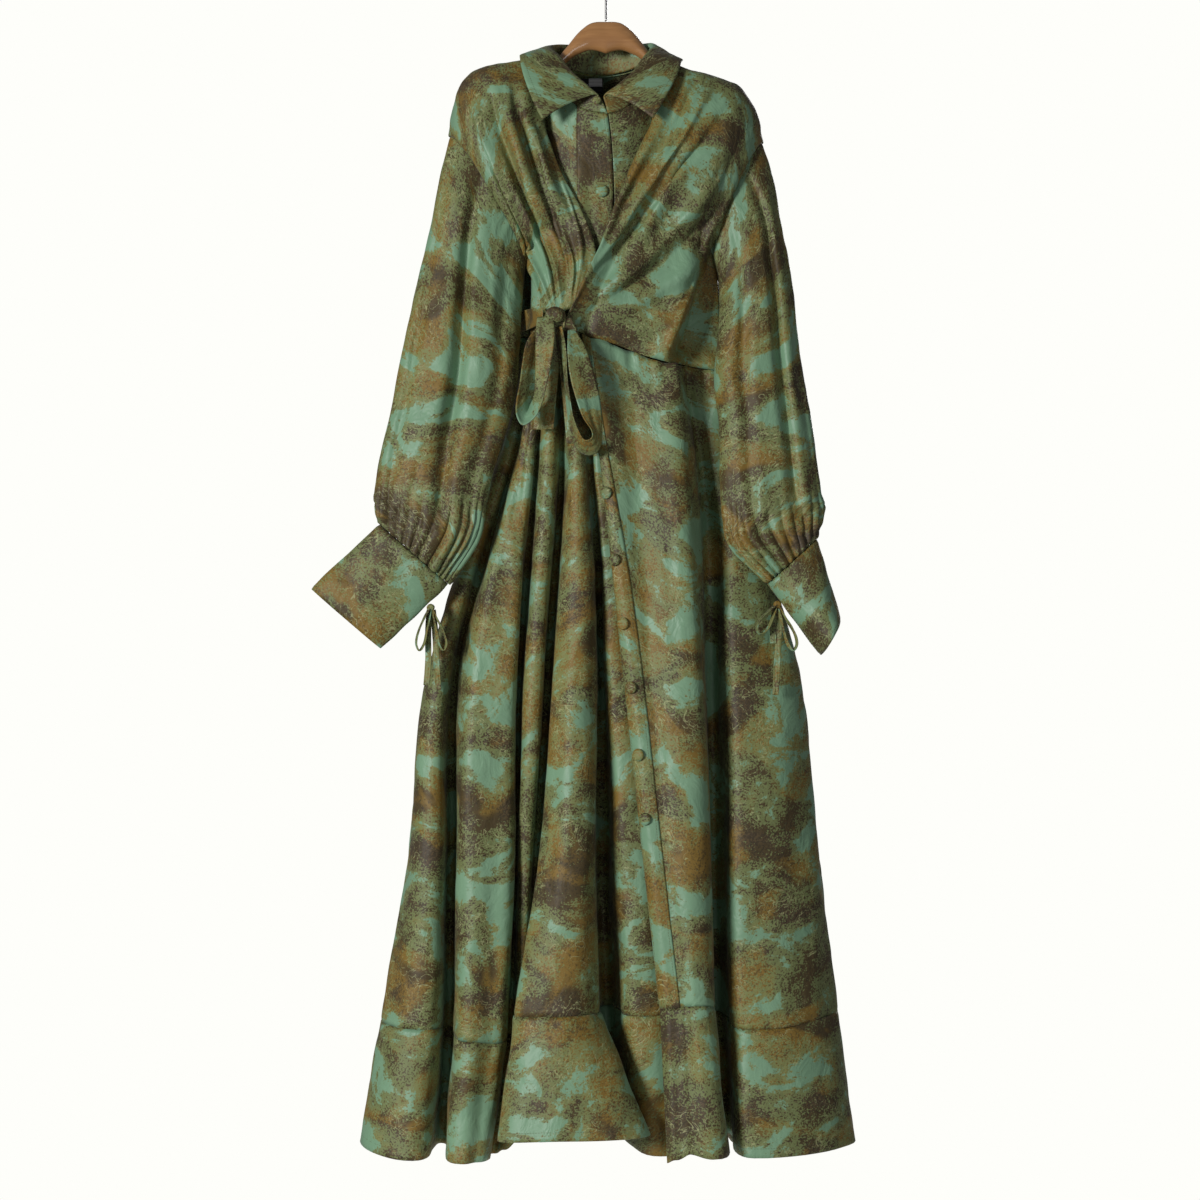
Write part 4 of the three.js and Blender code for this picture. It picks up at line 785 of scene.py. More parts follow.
def grid_mesh(name: str, points: np.ndarray, place: np.ndarray, closed: bool = False) -> bpy.types.Object:
    """Makes an object of quads over a grid, with the cloth map as its UVs.

    Args:
        name: the object's name.
        points: grid in millimetres.
        place: the cloth map, in metres.
        closed: whether the last column repeats the first, which is then one column of vertices.

    Returns:
        The object, at the origin.
    """
    rows, cols = points.shape[:2]
    used = cols - 1 if closed else cols
    index = np.arange(rows)[:, None] * used + np.arange(cols)[None, :] % used
    corners = [(0, 0), (0, 1), (1, 1), (1, 0)]
    take = lambda a: np.stack([a[j : rows - 1 + j, i : cols - 1 + i] for j, i in corners], axis=2)
    loops = take(index).reshape(-1)
    mesh = bpy.data.meshes.new(name)
    mesh.vertices.add(rows * used)
    mesh.vertices.foreach_set("co", (points[:, :used] * MM).astype(np.float32).ravel())
    mesh.loops.add(len(loops))
    mesh.loops.foreach_set("vertex_index", loops.astype(np.int32))
    mesh.polygons.add(len(loops) // 4)
    mesh.polygons.foreach_set("loop_start", np.arange(0, len(loops), 4, dtype=np.int32))
    mesh.update(calc_edges=True)
    uv = mesh.uv_layers.new(name="cloth")
    uv.data.foreach_set("uv", take(place).reshape(-1).astype(np.float32))
    mesh.polygons.foreach_set("use_smooth", np.ones(len(loops) // 4, dtype=bool))
    mesh.validate()
    piece = bpy.data.objects.new(name, mesh)
    bpy.context.scene.collection.objects.link(piece)
    return piece


def dress(piece: bpy.types.Object, finish: Finish, slot: str, nodes: Sequence[str] = ()) -> bpy.types.Object:
    """Gives a piece its finish and its body, and hides the solids that it stands for."""
    piece.data.materials.append(finish.material())
    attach(piece, "root")
    if nodes:
        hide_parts(*nodes)
    LOG.info("%s: %d faces", piece.name, len(piece.data.polygons))
    return piece


@dataclass
class Sheet:
    """A piece of cloth over a grid.

    Attributes:
        name: the piece's name.
        points: grid in millimetres.
        nodes: the solids that it stands for.
        rests_on: what carries it; not used.
        held: how it hangs; not used.
        thick: wall in millimetres.
        closed: whether the last column repeats the first.
        shift: where its cut lies on the cloth, in metres.
        turn: how far its cut is turned on the cloth, in degrees.
        outward: 1 or -1, the side of the grid's normals that faces out.
        lift: how far the whole sheet is moved outwards.
    """

    name: str
    points: np.ndarray
    nodes: Sequence[str]
    rests_on: Sequence[str]
    held: Held = Held.HUNG
    thick: float = CLOTH
    closed: bool = False
    shift: tuple[float, float] = (0.0, 0.0)
    turn: float = 0.0
    outward: int = 1
    lift: float = 0.0

    def map(self) -> np.ndarray:
        """The cloth map of the grid, before the cut is shifted and turned."""
        return cloth_map(self.points)

    def build(self, relief: np.ndarray | float = 0.0) -> bpy.types.Object:
        """Makes the sheet.

        Args:
            relief: heights along the outward normals, in millimetres.

        Returns:
            The object.
        """
        place = self.map()
        rise = np.asarray(relief, float) + self.lift + np.zeros(self.points.shape[:2])
        points = self.points + normals(self.points, self.closed) * (self.outward * rise)[..., None]
        angle = math.radians(self.turn)
        turned = np.stack([
            place[..., 0] * math.cos(angle) - place[..., 1] * math.sin(angle) + self.shift[0],
            place[..., 0] * math.sin(angle) + place[..., 1] * math.cos(angle) + self.shift[1],
        ], axis=2)
        piece = grid_mesh(self.name, points, turned, self.closed)
        wall = piece.modifiers.new("wall", "SOLIDIFY")
        wall.thickness = self.thick * MM
        wall.offset = 0.0
        wall.use_even_offset = False
        dress(piece, Finish.CLOTH, "satin_jacquard", self.nodes)
        across = np.linalg.norm(np.diff(points, axis=1), axis=2)
        down = np.linalg.norm(np.diff(points, axis=0), axis=2)
        width = float(across.sum(axis=1).max()) * MM
        length = float(down.sum(axis=0).max()) * MM
        area = float((across[:-1].mean(axis=1)[:, None] * down.mean(axis=1)[:, None]).sum() * across.shape[1]) * MM**2
        area = min(max(area, 0.31 * width * length), width * length)
        list(self.rests_on)
        return piece


def rolled_edge(place: np.ndarray, columns: bool, rows: tuple[bool, bool], wide: float = 4.0) -> np.ndarray:
    """Height lost where an edge is turned in at a seam: the square of the nearness to the edge.

    Args:
        place: the cloth map.
        columns: whether the first and last columns are seams.
        rows: whether the first and the last row are seams.
        wide: width of the turn in millimetres.

    Returns:
        Heights from -1 to 0.
    """
    s, t = place[..., 0] / MM, -place[..., 1] / MM
    far = np.full(s.shape, 1e3)
    if columns:
        far = np.minimum(far, np.minimum(s - s[:, :1], s[:, -1:] - s))
    if rows[0]:
        far = np.minimum(far, t - t[:1])
    if rows[1]:
        far = np.minimum(far, t[-1:] - t)
    return -np.clip(1 - far / wide, 0, 1) ** 2


@dataclass
class Stitches:
    """A run of sewing stitches: short rounded threads laid end to end along a path.

    Attributes:
        long: length of a stitch in millimetres.
        gap: space between two stitches.
        thick: thickness of the thread.
    """

    long: float = 2.6
    gap: float = 1.0
    thick: float = 0.45

    def build(self, name: str, runs: Sequence[tuple[np.ndarray, np.ndarray]]) -> bpy.types.Object:
        """Makes all the stitches of one sub-assembly as one mesh.

        Args:
            name: the piece's name.
            runs: for each run, points along it in millimetres and the cloth's outward normals there.

        Returns:
            The object.
        """
        ring = np.array([0, 60, 120, 180, 240, 300]) * math.pi / 180
        shape = ((-0.5, 0.35), (-0.36, 1.0), (0.36, 1.0), (0.5, 0.35))
        vertices, faces = [], []
        for points, outs in runs:
            step = np.linalg.norm(np.diff(points, axis=0), axis=1)
            reach = np.concatenate([[0], np.cumsum(step)])
            count = max(int(reach[-1] // (self.long + self.gap)), 1)
            middle = (np.arange(count) + 0.5) * reach[-1] / count
            at = np.stack([np.interp(middle, reach, points[:, k]) for k in range(3)], axis=1)
            ahead = np.stack([np.interp(middle + 0.5, reach, points[:, k]) for k in range(3)], axis=1)
            behind = np.stack([np.interp(middle - 0.5, reach, points[:, k]) for k in range(3)], axis=1)
            out = np.stack([np.interp(middle, reach, outs[:, k]) for k in range(3)], axis=1)
            head = ahead - behind
            head /= np.maximum(np.linalg.norm(head, axis=1, keepdims=True), 1e-9)
            out -= (out * head).sum(axis=1, keepdims=True) * head
            out /= np.maximum(np.linalg.norm(out, axis=1, keepdims=True), 1e-9)
            side = np.cross(head, out)
            rings = []
            for share, wide in shape:
                centre = at + head * (share * self.long)
                turn = np.cos(ring)[None, :, None] * side[:, None] + 0.6 * np.sin(ring)[None, :, None] * out[:, None]
                rings.append(centre[:, None] + turn * (self.thick / 2 * wide))
            block = np.stack(rings, axis=1)
            start = sum(len(v) for v in vertices)
            base = start + np.arange(count)[:, None, None] * 24
            j = np.arange(3)[None, :, None] * 6
            i = np.arange(6)[None, None, :]
            a, b = base + j + i, base + j + (i + 1) % 6
            quads = np.stack([a, a + 6, b + 6, b], axis=3).reshape(-1, 4)
            caps = np.concatenate([
                (start + np.arange(count)[:, None] * 24 + np.arange(6)[None, :]),
                (start + np.arange(count)[:, None] * 24 + 18 + np.arange(6)[None, ::-1]),
            ])
            vertices.append(block.reshape(-1, 3))
            faces += quads.tolist() + caps.tolist()
        mesh = bpy.data.meshes.new(name)
        mesh.from_pydata(np.concatenate(vertices) * MM, [], faces)
        mesh.update()
        piece = bpy.data.objects.new(name, mesh)
        bpy.context.scene.collection.objects.link(piece)
        return dress(piece, Finish.THREAD, "satin_jacquard")


@dataclass
class FoldTable:
    """A skirt panel as fold lines from the waist to the hem.

    Attributes:
        rows: for each line its kind, x and y at six levels, and its heights at waist, seam and hem.
    """

    rows: Sequence[tuple]

    def __post_init__(self) -> None:
        """Splits the rows into arrays."""
        self.kinds = [row[0] for row in self.rows]
        self.x = np.array([row[1] for row in self.rows], float)
        self.y = np.array([row[2] for row in self.rows], float)
        self.ends = np.array([row[3:6] for row in self.rows], float)
        self.count = len(self.rows) - 1

    def skirt_lines(self, v: np.ndarray) -> np.ndarray:
        """Points of every line at shares v from the waist seam (0) to the flounce seam (1)."""
        x = smooth(LEVELS, self.x[:, :5].T, v)
        y = smooth(LEVELS, self.y[:, :5].T, v)
        z = self.ends[:, 0] + (self.ends[:, 1] - self.ends[:, 0]) * v[..., None]
        return np.stack([x, y, z], axis=-1)

    def flounce_lines(self, w: np.ndarray) -> np.ndarray:
        """Points of every line at shares w from the flounce seam (0) to the hem (1)."""
        seam = np.stack([self.x[:, 4], self.y[:, 4], self.ends[:, 1]], axis=-1)
        hem = np.stack([self.x[:, 5], self.y[:, 5], self.ends[:, 2]], axis=-1)
        return seam + (hem - seam) * w[..., None, None]

    def levels(self, lines: np.ndarray, s: np.ndarray) -> np.ndarray:
        """Joins the lines of each row by cubics, which run along X at crests and valleys.

        At side seams and flanks they run along Y instead, so that a fold can hang over its neighbour.

        Args:
            lines: points of the lines, rows by lines by 3.
            s: place across, in lines from the first, rows by columns.

        Returns:
            Points, rows by columns by 3.
        """
        i = np.clip(s.astype(int), 0, self.count - 1)
        t = (s - i)[..., None]
        row = np.arange(len(lines))[:, None]
        a, b = lines[row, i], lines[row, i + 1]
        run = np.hypot(b[..., 0] - a[..., 0], b[..., 1] - a[..., 1])[..., None]
        y = lines[..., 1]
        turned = np.array([kind in ("side", "flank") for kind in self.kinds])
        ahead = np.sign(np.concatenate([y[:, 1:], y[:, -1:]], 1) - np.concatenate([y[:, :1], y[:, :-1]], 1))
        heading = np.zeros(lines.shape)
        heading[..., 0] = np.where(turned, 0.0, 1.0)
        heading[..., 1] = np.where(turned, ahead, 0.0)
        heading *= np.array([ROUNDNESS[kind] for kind in self.kinds])[None, :, None]
        return hermite(a, b, heading[row, i] * run, heading[row, i + 1] * run, t)

    def skirt(self, u: np.ndarray, v: np.ndarray) -> np.ndarray:
        """Points of the panel on a lattice of u and v."""
        return self.levels(self.skirt_lines(v[:, 0]), u * self.count)

    def flounce(self, u: np.ndarray, w: np.ndarray) -> np.ndarray:
        """Points of the flounce on a lattice of u and w."""
        return self.levels(self.flounce_lines(w[:, 0]), u * self.count)

    def waist(self) -> np.ndarray:
        """Points of the waist edge, two for each span."""
        return lattice(self.skirt, shares(self.count * 2), np.zeros(1))[0]


def raised(points: np.ndarray, rise: np.ndarray | float, closed: bool = False) -> np.ndarray:
    """Moves a grid along its normals, which point out on a front, by heights in millimetres."""
    rise = np.asarray(rise, float) + np.zeros(points.shape[:2])
    return points + normals(points, closed) * rise[..., None]


def pick(points: np.ndarray, u: np.ndarray, v: np.ndarray) -> np.ndarray:
    """Reads a grid between its points.

    Args:
        points: rows by columns by 3.
        u: shares along the rows.
        v: shares down the columns.

    Returns:
        The value at each u and v, the mean of the four nearest points by their nearness.
    """
    rows, cols = points.shape[0] - 1, points.shape[1] - 1
    x, y = np.clip(u, 0, 1) * cols, np.clip(v, 0, 1) * rows
    i, j = np.minimum(x.astype(int), cols - 1), np.minimum(y.astype(int), rows - 1)
    s, t = (x - i)[..., None], (y - j)[..., None]
    upper = points[j, i] * (1 - s) + points[j, i + 1] * s
    lower = points[j + 1, i] * (1 - s) + points[j + 1, i + 1] * s
    return upper * (1 - t) + lower * t


def run_on(points: np.ndarray, us: Sequence[float], vs: Sequence[float], out: float,
           closed: bool = False) -> tuple[np.ndarray, np.ndarray]:
    """A run of stitches over a grid: points moved out along the normals, and the normals there.

    Args:
        points: the grid.
        us: shares along the rows, one for each point of the run.
        vs: shares down the columns.
        out: how far out of the grid the thread lies, below 0 where the normals point in.
        closed: whether the grid is closed.

    Returns:
        The points and the outward normals.
    """
    count = 160
    t = np.linspace(0, 1, count)
    knots = np.linspace(0, 1, len(us))
    u, v = np.interp(t, knots, us), np.interp(t, knots, vs)
    out_ways = pick(normals(points, closed), u, v) * math.copysign(1, out)
    return pick(points, u, v) + out_ways * abs(out), out_ways


def armhole(hole: str, angle: np.ndarray) -> np.ndarray:
    """Armhole seam at angles from its top, positive on the front."""
    top, bottom, depth, bow = ARMHOLES[hole]
    top, bottom = np.array(top, float), np.array(bottom, float)
    middle = (top + bottom) / 2
    around = middle + (top - middle) * np.cos(angle)[..., None] + np.array(bow) * np.abs(np.sin(angle))[..., None]
    around[..., 1] -= depth * np.sin(angle)
    return around


def armhole_edge(hole: str, side: int) -> np.ndarray:
    """Points down the front (1) or back (-1) half of an armhole, just clear of the seam."""
    edge = armhole(hole, side * math.pi * shares(6))
    edge[:, 0] += 0.6 if hole == "left" else -0.6
    edge[:, 1] -= side * SHOULDER_GAP
    return edge


def shoulder_round(u: np.ndarray, v: np.ndarray) -> np.ndarray:
    """Rounding of the cloth over the hanger, steep at the shoulder seam and gone at the waist."""
    return SHOULDER_BULGE * np.sin(math.pi * v**0.35) * np.sqrt(np.clip(4 * u * (1 - u), 0, 1))


def fold_height(folds: Sequence[tuple], u: np.ndarray, v: np.ndarray) -> np.ndarray:
    """Height of soft folds over a wrapped front: bells across lines that run down it."""
    height = np.zeros(u.shape)
    for start, stop, high, wide, begin, end in folds:
        place = start + (stop - start) * v
        along = np.clip((v - begin) / (end - begin), 0, 1)
        height += high * np.sin(math.pi * along) ** 0.7 * np.exp(-(((u - place) / wide) ** 2))
    return height


def front_way(points: np.ndarray) -> int:
    """1 if the grid's normals point to the front on the whole, else -1."""
    return 1 if normals(points)[..., 1].mean() < 0 else -1


def shoulder_seam(points: Sequence[tuple], side: int) -> np.ndarray:
    """Shoulder seam of the front (-1) or the back (1)."""
    seam = np.array(points, float)
    seam[:, 1] += side * (0.4 + (SHOULDER_GAP - 0.4) * (np.arange(len(seam)) / (len(seam) - 1)) ** 2)
    return seam


def waist_edge(panel: FoldTable, lift: float = 0.8) -> np.ndarray:
    """Waist edge of a skirt panel, moved up by the seam's gap."""
    return panel.waist() + (0, 0, lift)


def face_front(surface: Surface, rise: Callable[[np.ndarray, np.ndarray], np.ndarray], way: int) -> Surface:
    """Surface with heights added towards the front (-1) or the back (1)."""

    def raised_surface(u: np.ndarray, v: np.ndarray) -> np.ndarray:
        """Point of the surface with its height added."""
        points = surface(u, v)
        points[..., 1] += way * rise(u, v)
        return points

    return raised_surface


LEFT_PANEL = FoldTable(SKIRT_LEFT)
RIGHT_PANEL = FoldTable(SKIRT_RIGHT)
BACK_PANEL = FoldTable(SKIRT_BACK)
# Behind the left sleeve the back stands out further than its solid
BACK_PANEL.x[1, :2] -= (9, 6)


def back_surface() -> Surface:
    """Back of the bodice: shoulders and neck above, armholes and sides, waist seam below."""
    neck = [*NECK_LEFT[NECK_SIDE + 1 :], *reversed(NECK_RIGHT[NECK_SIDE + 1 : -1])]
    left, right = curve(shoulder_seam(SHOULDER_LEFT, 1)), curve(shoulder_seam(SHOULDER_RIGHT, 1))
    zero = np.zeros(())
    across = curve([left(zero), *(np.array(neck) + (0, 1.5, -1.5)), right(zero)])
    share = BACK_SHOULDER

    def top(u: np.ndarray) -> np.ndarray:
        """Top edge: left shoulder, neck, right shoulder."""
        u = np.asarray(u, float)[..., None]
        inner = across(np.clip((u[..., 0] - share) / (1 - 2 * share), 0, 1))
        left_part = left(np.clip(1 - u[..., 0] / share, 0, 1))
        right_part = right(np.clip(1 - (1 - u[..., 0]) / share, 0, 1))
        return np.where(u < share, left_part, np.where(u > 1 - share, right_part, inner))

    waist = waist_edge(BACK_PANEL, 0.6)
    left_side = curve([*armhole_edge("left", -1), *UNDER_ARM_LEFT, waist[0]])
    right_side = curve([*armhole_edge("right", -1), *UNDER_ARM_RIGHT, waist[-1]])
    base = patch(top, curve(waist), left_side, right_side)

    def rise(u: np.ndarray, v: np.ndarray) -> np.ndarray:
        """Height of the shoulders' round, most of it taken away under the neck."""
        return shoulder_round(u, v) * (1 - 0.8 * np.exp(-(((u - 0.5) / 0.14) ** 2)))

    return face_front(base, rise, 1)


@dataclass
class Hanger:
    """Wooden coat hanger with a wire hook.

    Attributes:
        reach: half of the width in millimetres.
        sides: sides of a section.
        rings: sections along the wood.
        wire: radius of the hook's wire.
        bend: radius of the hook.
    """

    reach: float = 182
    sides: int = 28
    rings: int = 150
    wire: float = 1.5
    bend: float = 17.5

    def build(self) -> None:
        """Makes the wood and the hook."""
        x = np.linspace(-self.reach, self.reach, self.rings + 1)
        far = np.abs(x)
        neck, high_at, deep_at = (np.array(t, float) for t in (HANGER_NECK, HANGER_HIGH, HANGER_DEEP))
        under = np.where(x < 0, self.under(SHOULDER_LEFT, far), self.under(SHOULDER_RIGHT, far))
        last = neck[-1]
        near_hook = column(neck[:, 0], neck[:, 1], np.minimum(far, last[0]))
        top = np.where(far < last[0], near_hook, np.minimum(under, last[1]))
        high, deep = column(high_at[:, 0], high_at[:, 1], far), column(deep_at[:, 0], deep_at[:, 1], far)
        angle = np.linspace(0, 2 * math.pi, self.sides, endpoint=False)
        rise = (1 + np.cos(angle)) / 2
        taper = np.where(rise > 0.5, 1 - 0.45 * (2 * rise - 1), 1)
        rings = np.stack([
            x[:, None] + 0 * angle,
            deep[:, None] * (np.sin(angle) * taper),
            top[:, None] - high[:, None] * (1 - rise),
        ], axis=2)
        wood = round_mesh("wood_body", rings)
        dress(wood, Finish.WOOD, "hanger_wood", ["hanger_wood"])

        turn = np.radians(np.linspace(-90, 125, 60))
        stem = np.stack([np.zeros(12), np.zeros(12), np.linspace(-63.4, -34, 12)], axis=1)
        hook = np.stack([self.bend * np.cos(turn), 0 * turn, self.wire + self.bend * (np.sin(turn) - 1)], axis=1)
        path = np.concatenate([stem, hook[1:]])
        head = np.gradient(path, axis=0)
        head /= np.linalg.norm(head, axis=1, keepdims=True)
        side = np.array([0.0, 1.0, 0.0])
        up = np.cross(head, side)
        ring = np.linspace(0, 2 * math.pi, 16, endpoint=False)
        tube = path[:, None] + self.wire * (
            np.cos(ring)[None, :, None] * side + np.sin(ring)[None, :, None] * up[:, None]
        )
        dress(round_mesh("wire_hook", tube), Finish.STEEL, "hook_steel", ["hanger_hook"])

    @staticmethod
    def under(seam: Sequence[tuple], far: np.ndarray) -> np.ndarray:
        """Top of the wood under a shoulder seam: the seam's height less a gap square to it."""
        points = np.array(seam, float)
        height = lambda x: column(np.abs(points[:, 0]), points[:, 2], x)
        slope = (height(far + 1) - height(far - 1)) / 2
        return height(far) - 1.7 * np.hypot(1, slope)


def round_mesh(name: str, rings: np.ndarray) -> bpy.types.Object:
    """Closed mesh through rings of points, with a fan on each end ring.

    Args:
        name: the object's name.
        rings: rings by points by 3, in millimetres.

    Returns:
        The object, with its faces outwards.
    """
    count, cols = rings.shape[:2]
    points = np.concatenate([rings.reshape(-1, 3), rings[:1].mean(axis=1), rings[-1:].mean(axis=1)])
    j, i = np.meshgrid(np.arange(count - 1), np.arange(cols), indexing="ij")
    a, b = j * cols + i, j * cols + (i + 1) % cols
    quads = np.stack([a, b, b + cols, a + cols], axis=2).reshape(-1, 4)
    ring = np.arange(cols)
    first = np.stack([(ring + 1) % cols, ring, np.full(cols, count * cols)], axis=1)
    base = (count - 1) * cols
    last = np.stack([base + ring, base + (ring + 1) % cols, np.full(cols, count * cols + 1)], axis=1)
    centre = points[: count * cols].mean(axis=0)
    one = points[quads]
    away = np.cross(one[:, 1] - one[:, 0], one[:, 3] - one[:, 0])
    if (away * (one.mean(axis=1) - centre)).sum() < 0:
        quads, first, last = quads[:, ::-1], first[:, ::-1], last[:, ::-1]
    mesh = bpy.data.meshes.new(name)
    mesh.from_pydata(points * MM, [], quads.tolist() + first.tolist() + last.tolist())
    mesh.polygons.foreach_set("use_smooth", np.ones(len(mesh.polygons), dtype=bool))
    mesh.update()
    piece = bpy.data.objects.new(name, mesh)
    bpy.context.scene.collection.objects.link(piece)
    return piece


def wrap_map(piece: bpy.types.Object, across: float = 1.0) -> None:
    """Gives a small solid piece a cloth map: its X and Z in metres, shifted by its Y."""
    mesh = piece.data
    co = np.empty(len(mesh.vertices) * 3, np.float32)
    mesh.vertices.foreach_get("co", co)
    co = co.reshape(-1, 3)
    index = np.empty(len(mesh.loops), np.int32)
    mesh.loops.foreach_get("vertex_index", index)
    uv = mesh.uv_layers.new(name="cloth")
    flat = np.stack([co[index, 0] * across + 0.3 * co[index, 1], co[index, 2] + 0.3 * co[index, 1]], axis=1)
    uv.data.foreach_set("uv", flat.ravel())


@dataclass
class Labels:
    """Black woven label with a white size tab, both without any marking, inside the back neck."""

    label: tuple[float, ...] = (-23, 40.7, -131, 38, 19, 0.8)
    tab: tuple[float, ...] = (-14, 39.7, -131, 18, 11, 0.5)

    def build(self) -> None:
        """Makes both tapes, each a plate with soft edges and a slight curl."""
        for name, size, finish, slot, node in (
            ("neck_label_tape", self.label, Finish.BLACK_TAPE, "label_black", "neck_label"),
            ("size_tab_tape", self.tab, Finish.WHITE_TAPE, "label_white", "size_tab"),
        ):
            x, y, top, wide, high, thick = size
            s, t = np.meshgrid(shares(20), shares(12))
            points = np.stack([x + (s - 0.5) * wide, y - 0.5 * np.sin(math.pi * s) * t, top - t * high], axis=2)
            tape = grid_mesh(name, points, cloth_map(points))
            wall = tape.modifiers.new("wall", "SOLIDIFY")
            wall.thickness, wall.offset = thick * MM, 0.0
            dress(tape, finish, slot, [node])


@dataclass
class Collar:
    """Shirt collar: a stand on the neck seam that rolls over into the turned-down leaf.

    Attributes:
        cells: cells round the neck.
        rows: cells from the neck seam over the roll to the edge.
        from_edge: distance of the stitching from the leaf's edge.
    """

    cells: int = 150
    rows: int = 44
    from_edge: float = 5.0

    def surface(self) -> Surface:
        """Surface from the neck seam (v = 0) over the roll to the leaf's edge (v = 1)."""
        seam = curve([*NECK_LEFT, *reversed(NECK_RIGHT[:-1])])
        fold, edge = curve(COLLAR_FOLD), curve(COLLAR_EDGE)

        def at(u: np.ndarray, v: np.ndarray) -> np.ndarray:
            """Point of the collar at u and v, given as a lattice."""
            row = u[0]
            low, top, out = seam(row), fold(row), edge(row)
            centre = np.array([-8.0, 0.0, 0.0])
            inward = (centre - top) * (1, 1, 0)
            inward /= np.maximum(np.linalg.norm(inward, axis=1, keepdims=True), 1e-6)
            stand = [low + inward * 1.2, low + (top - low) * 0.5 + inward * 1.4, top + inward * 1.6 + (0, 0, -3.0)]
            leaf = [top + (out - top) * s + (0, 0, 5 * math.sin(math.pi * s) + 1.2) for s in (0.06, 0.35, 0.7, 1.0)]
            knots = (0.0, 0.17, 0.3, 0.38, 0.58, 0.8, 1.0)
            rows = smooth(knots, np.stack([*stand, *leaf]).reshape(len(knots), -1), v[:, 0])
            return rows.reshape(len(v), -1, 3)

        return at

    def build(self) -> None:
        """Makes the collar and its stitching."""
        points = lattice(self.surface(), shares(self.cells), shares(self.rows))
        place = cloth_map(points)
        uneven = 0.5 * ripples(place, 46, 3) + 0.8 * rolled_edge(place, True, (False, True), 3)
        points = raised(points, uneven)
        Sheet("collar", points, ["collar_stand", "collar_leaf"], ["bodice_back_cloth", "wood_body"], Held.FOLDED,
              BAND, shift=(0.9, 0.3)).build()
        lift = BAND / 2 + 0.1
        out = self.way(points) * lift
        far = 1 - 0.62 * self.from_edge / 45
        near = self.from_edge / 620
        runs = [
            run_on(points, [near, 1 - near], [far, far], out),
            run_on(points, [near, near], [0.42, far], out),
            run_on(points, [1 - near, 1 - near], [0.42, far], out),
        ]
        Stitches().build("collar_stitches", runs)

    @staticmethod
    def way(points: np.ndarray) -> int:
        """1 if the grid's normals point up on the leaf at the back, else -1."""
        rows, cols = points.shape[:2]
        return 1 if normals(points)[int(rows * 0.7), cols // 2, 2] > 0 else -1


@dataclass
class Button:
    """Covered button: a metal cap under the dress's own cloth, domed and drawn in at its rim.

    Attributes:
        radius: in millimetres.
        high: height of the dome.
    """

    radius: float = 8.2
    high: float = 4.4

    def build(self, name: str, at: np.ndarray, out: np.ndarray, nodes: Sequence[str]) -> None:
        """Makes the button.

        Args:
            name: its name.
            at: middle of its underside.
            out: the way it faces.
            nodes: the solids that it stands for.
        """
        profile = np.array(
            [(0.5, -0.05), (0.86, -0.05), (0.97, 0.1), (1.0, 0.3), (0.97, 0.5), (0.86, 0.72), (0.66, 0.89),
             (0.4, 0.98), (0.14, 1.02)]
        )
        out = out / np.linalg.norm(out)
        side = np.cross(out, (0, 0, 1.0))
        side /= np.linalg.norm(side)
        up = np.cross(side, out)
        angle = np.linspace(0, 2 * math.pi, 48, endpoint=False)
        drawn = 1 + 0.012 * np.sin(11 * angle)[None, :] * (profile[:, 1:2] < 0.6)
        wide = self.radius * profile[:, 0][:, None, None] * drawn[..., None]
        ring = np.cos(angle)[None, :, None] * side + np.sin(angle)[None, :, None] * up
        rings = at + ring * wide + (self.high * profile[:, 1])[:, None, None] * out
        piece = round_mesh(name, rings)
        wrap_map(piece)
        dress(piece, Finish.CLOTH, "button_cloth", nodes)


def skirt_relief(place: np.ndarray, panel: str, seed: int) -> np.ndarray:
    """Small relief of a skirt panel: gathers under the waist seam, creases and an uneven drape.

    Args:
        place: the cloth map.
        panel: name of the panel.
        seed: number that fixes the ripples.

    Returns:
        Heights in millimetres.
    """
    down = -place[..., 1] / MM
    gather = 2.2 * np.exp(-down / 45) * ripples(place, 15, seed, 9.0)
    drape = 1.6 * ripples(place, 62, seed + 1, 5.5) * np.clip(down / 120, 0.2, 1)
    small = 0.35 * ripples(place, 21, seed + 2, 2.2)
    relief = gather + drape + small
    for line in SKIRT_CREASES[panel]:
        relief = relief + crease(place, line[:4], line[4], line[5], line[6])
    return relief


# Creases of the skirt panels: start and end across and down on the cloth, width, height and bend
SKIRT_CREASES = {
    "left": (
        (-120, -160, -170, -520, 9, 2.4, 14), (-60, -90, -95, -430, 8, 2.0, -10), (40, -120, 64, -560, 8, -2.2, 8),
        (-200, -480, -230, -860, 12, 2.0, 10), (-20, -520, -50, -840, 12, 2.2, -12), (120, -430, 130, -800, 10, 1.8, 8),
    ),
    "right": (
        (-60, -140, -64, -420, 8, 1.8, 6), (30, -80, 52, -380, 9, 2.2, 10), (90, -150, 120, -560, 11, -2.4, 12),
        (-20, -470, -6, -830, 12, 2.0, -10), (110, -500, 150, -820, 12, 2.4, 10),
    ),
    "back": (
        (-160, -120, -210, -520, 10, 2.2, 10), (-60, -150, -80, -480, 10, 2.0, -12), (50, -110, 60, -520, 9, -2.2, 10),
        (170, -160, 220, -560, 11, 2.2, -10), (-110, -520, -130, -850, 12, 2.2, 10), (90, -540, 120, -840, 12, 2.0, -9),
    ),
}


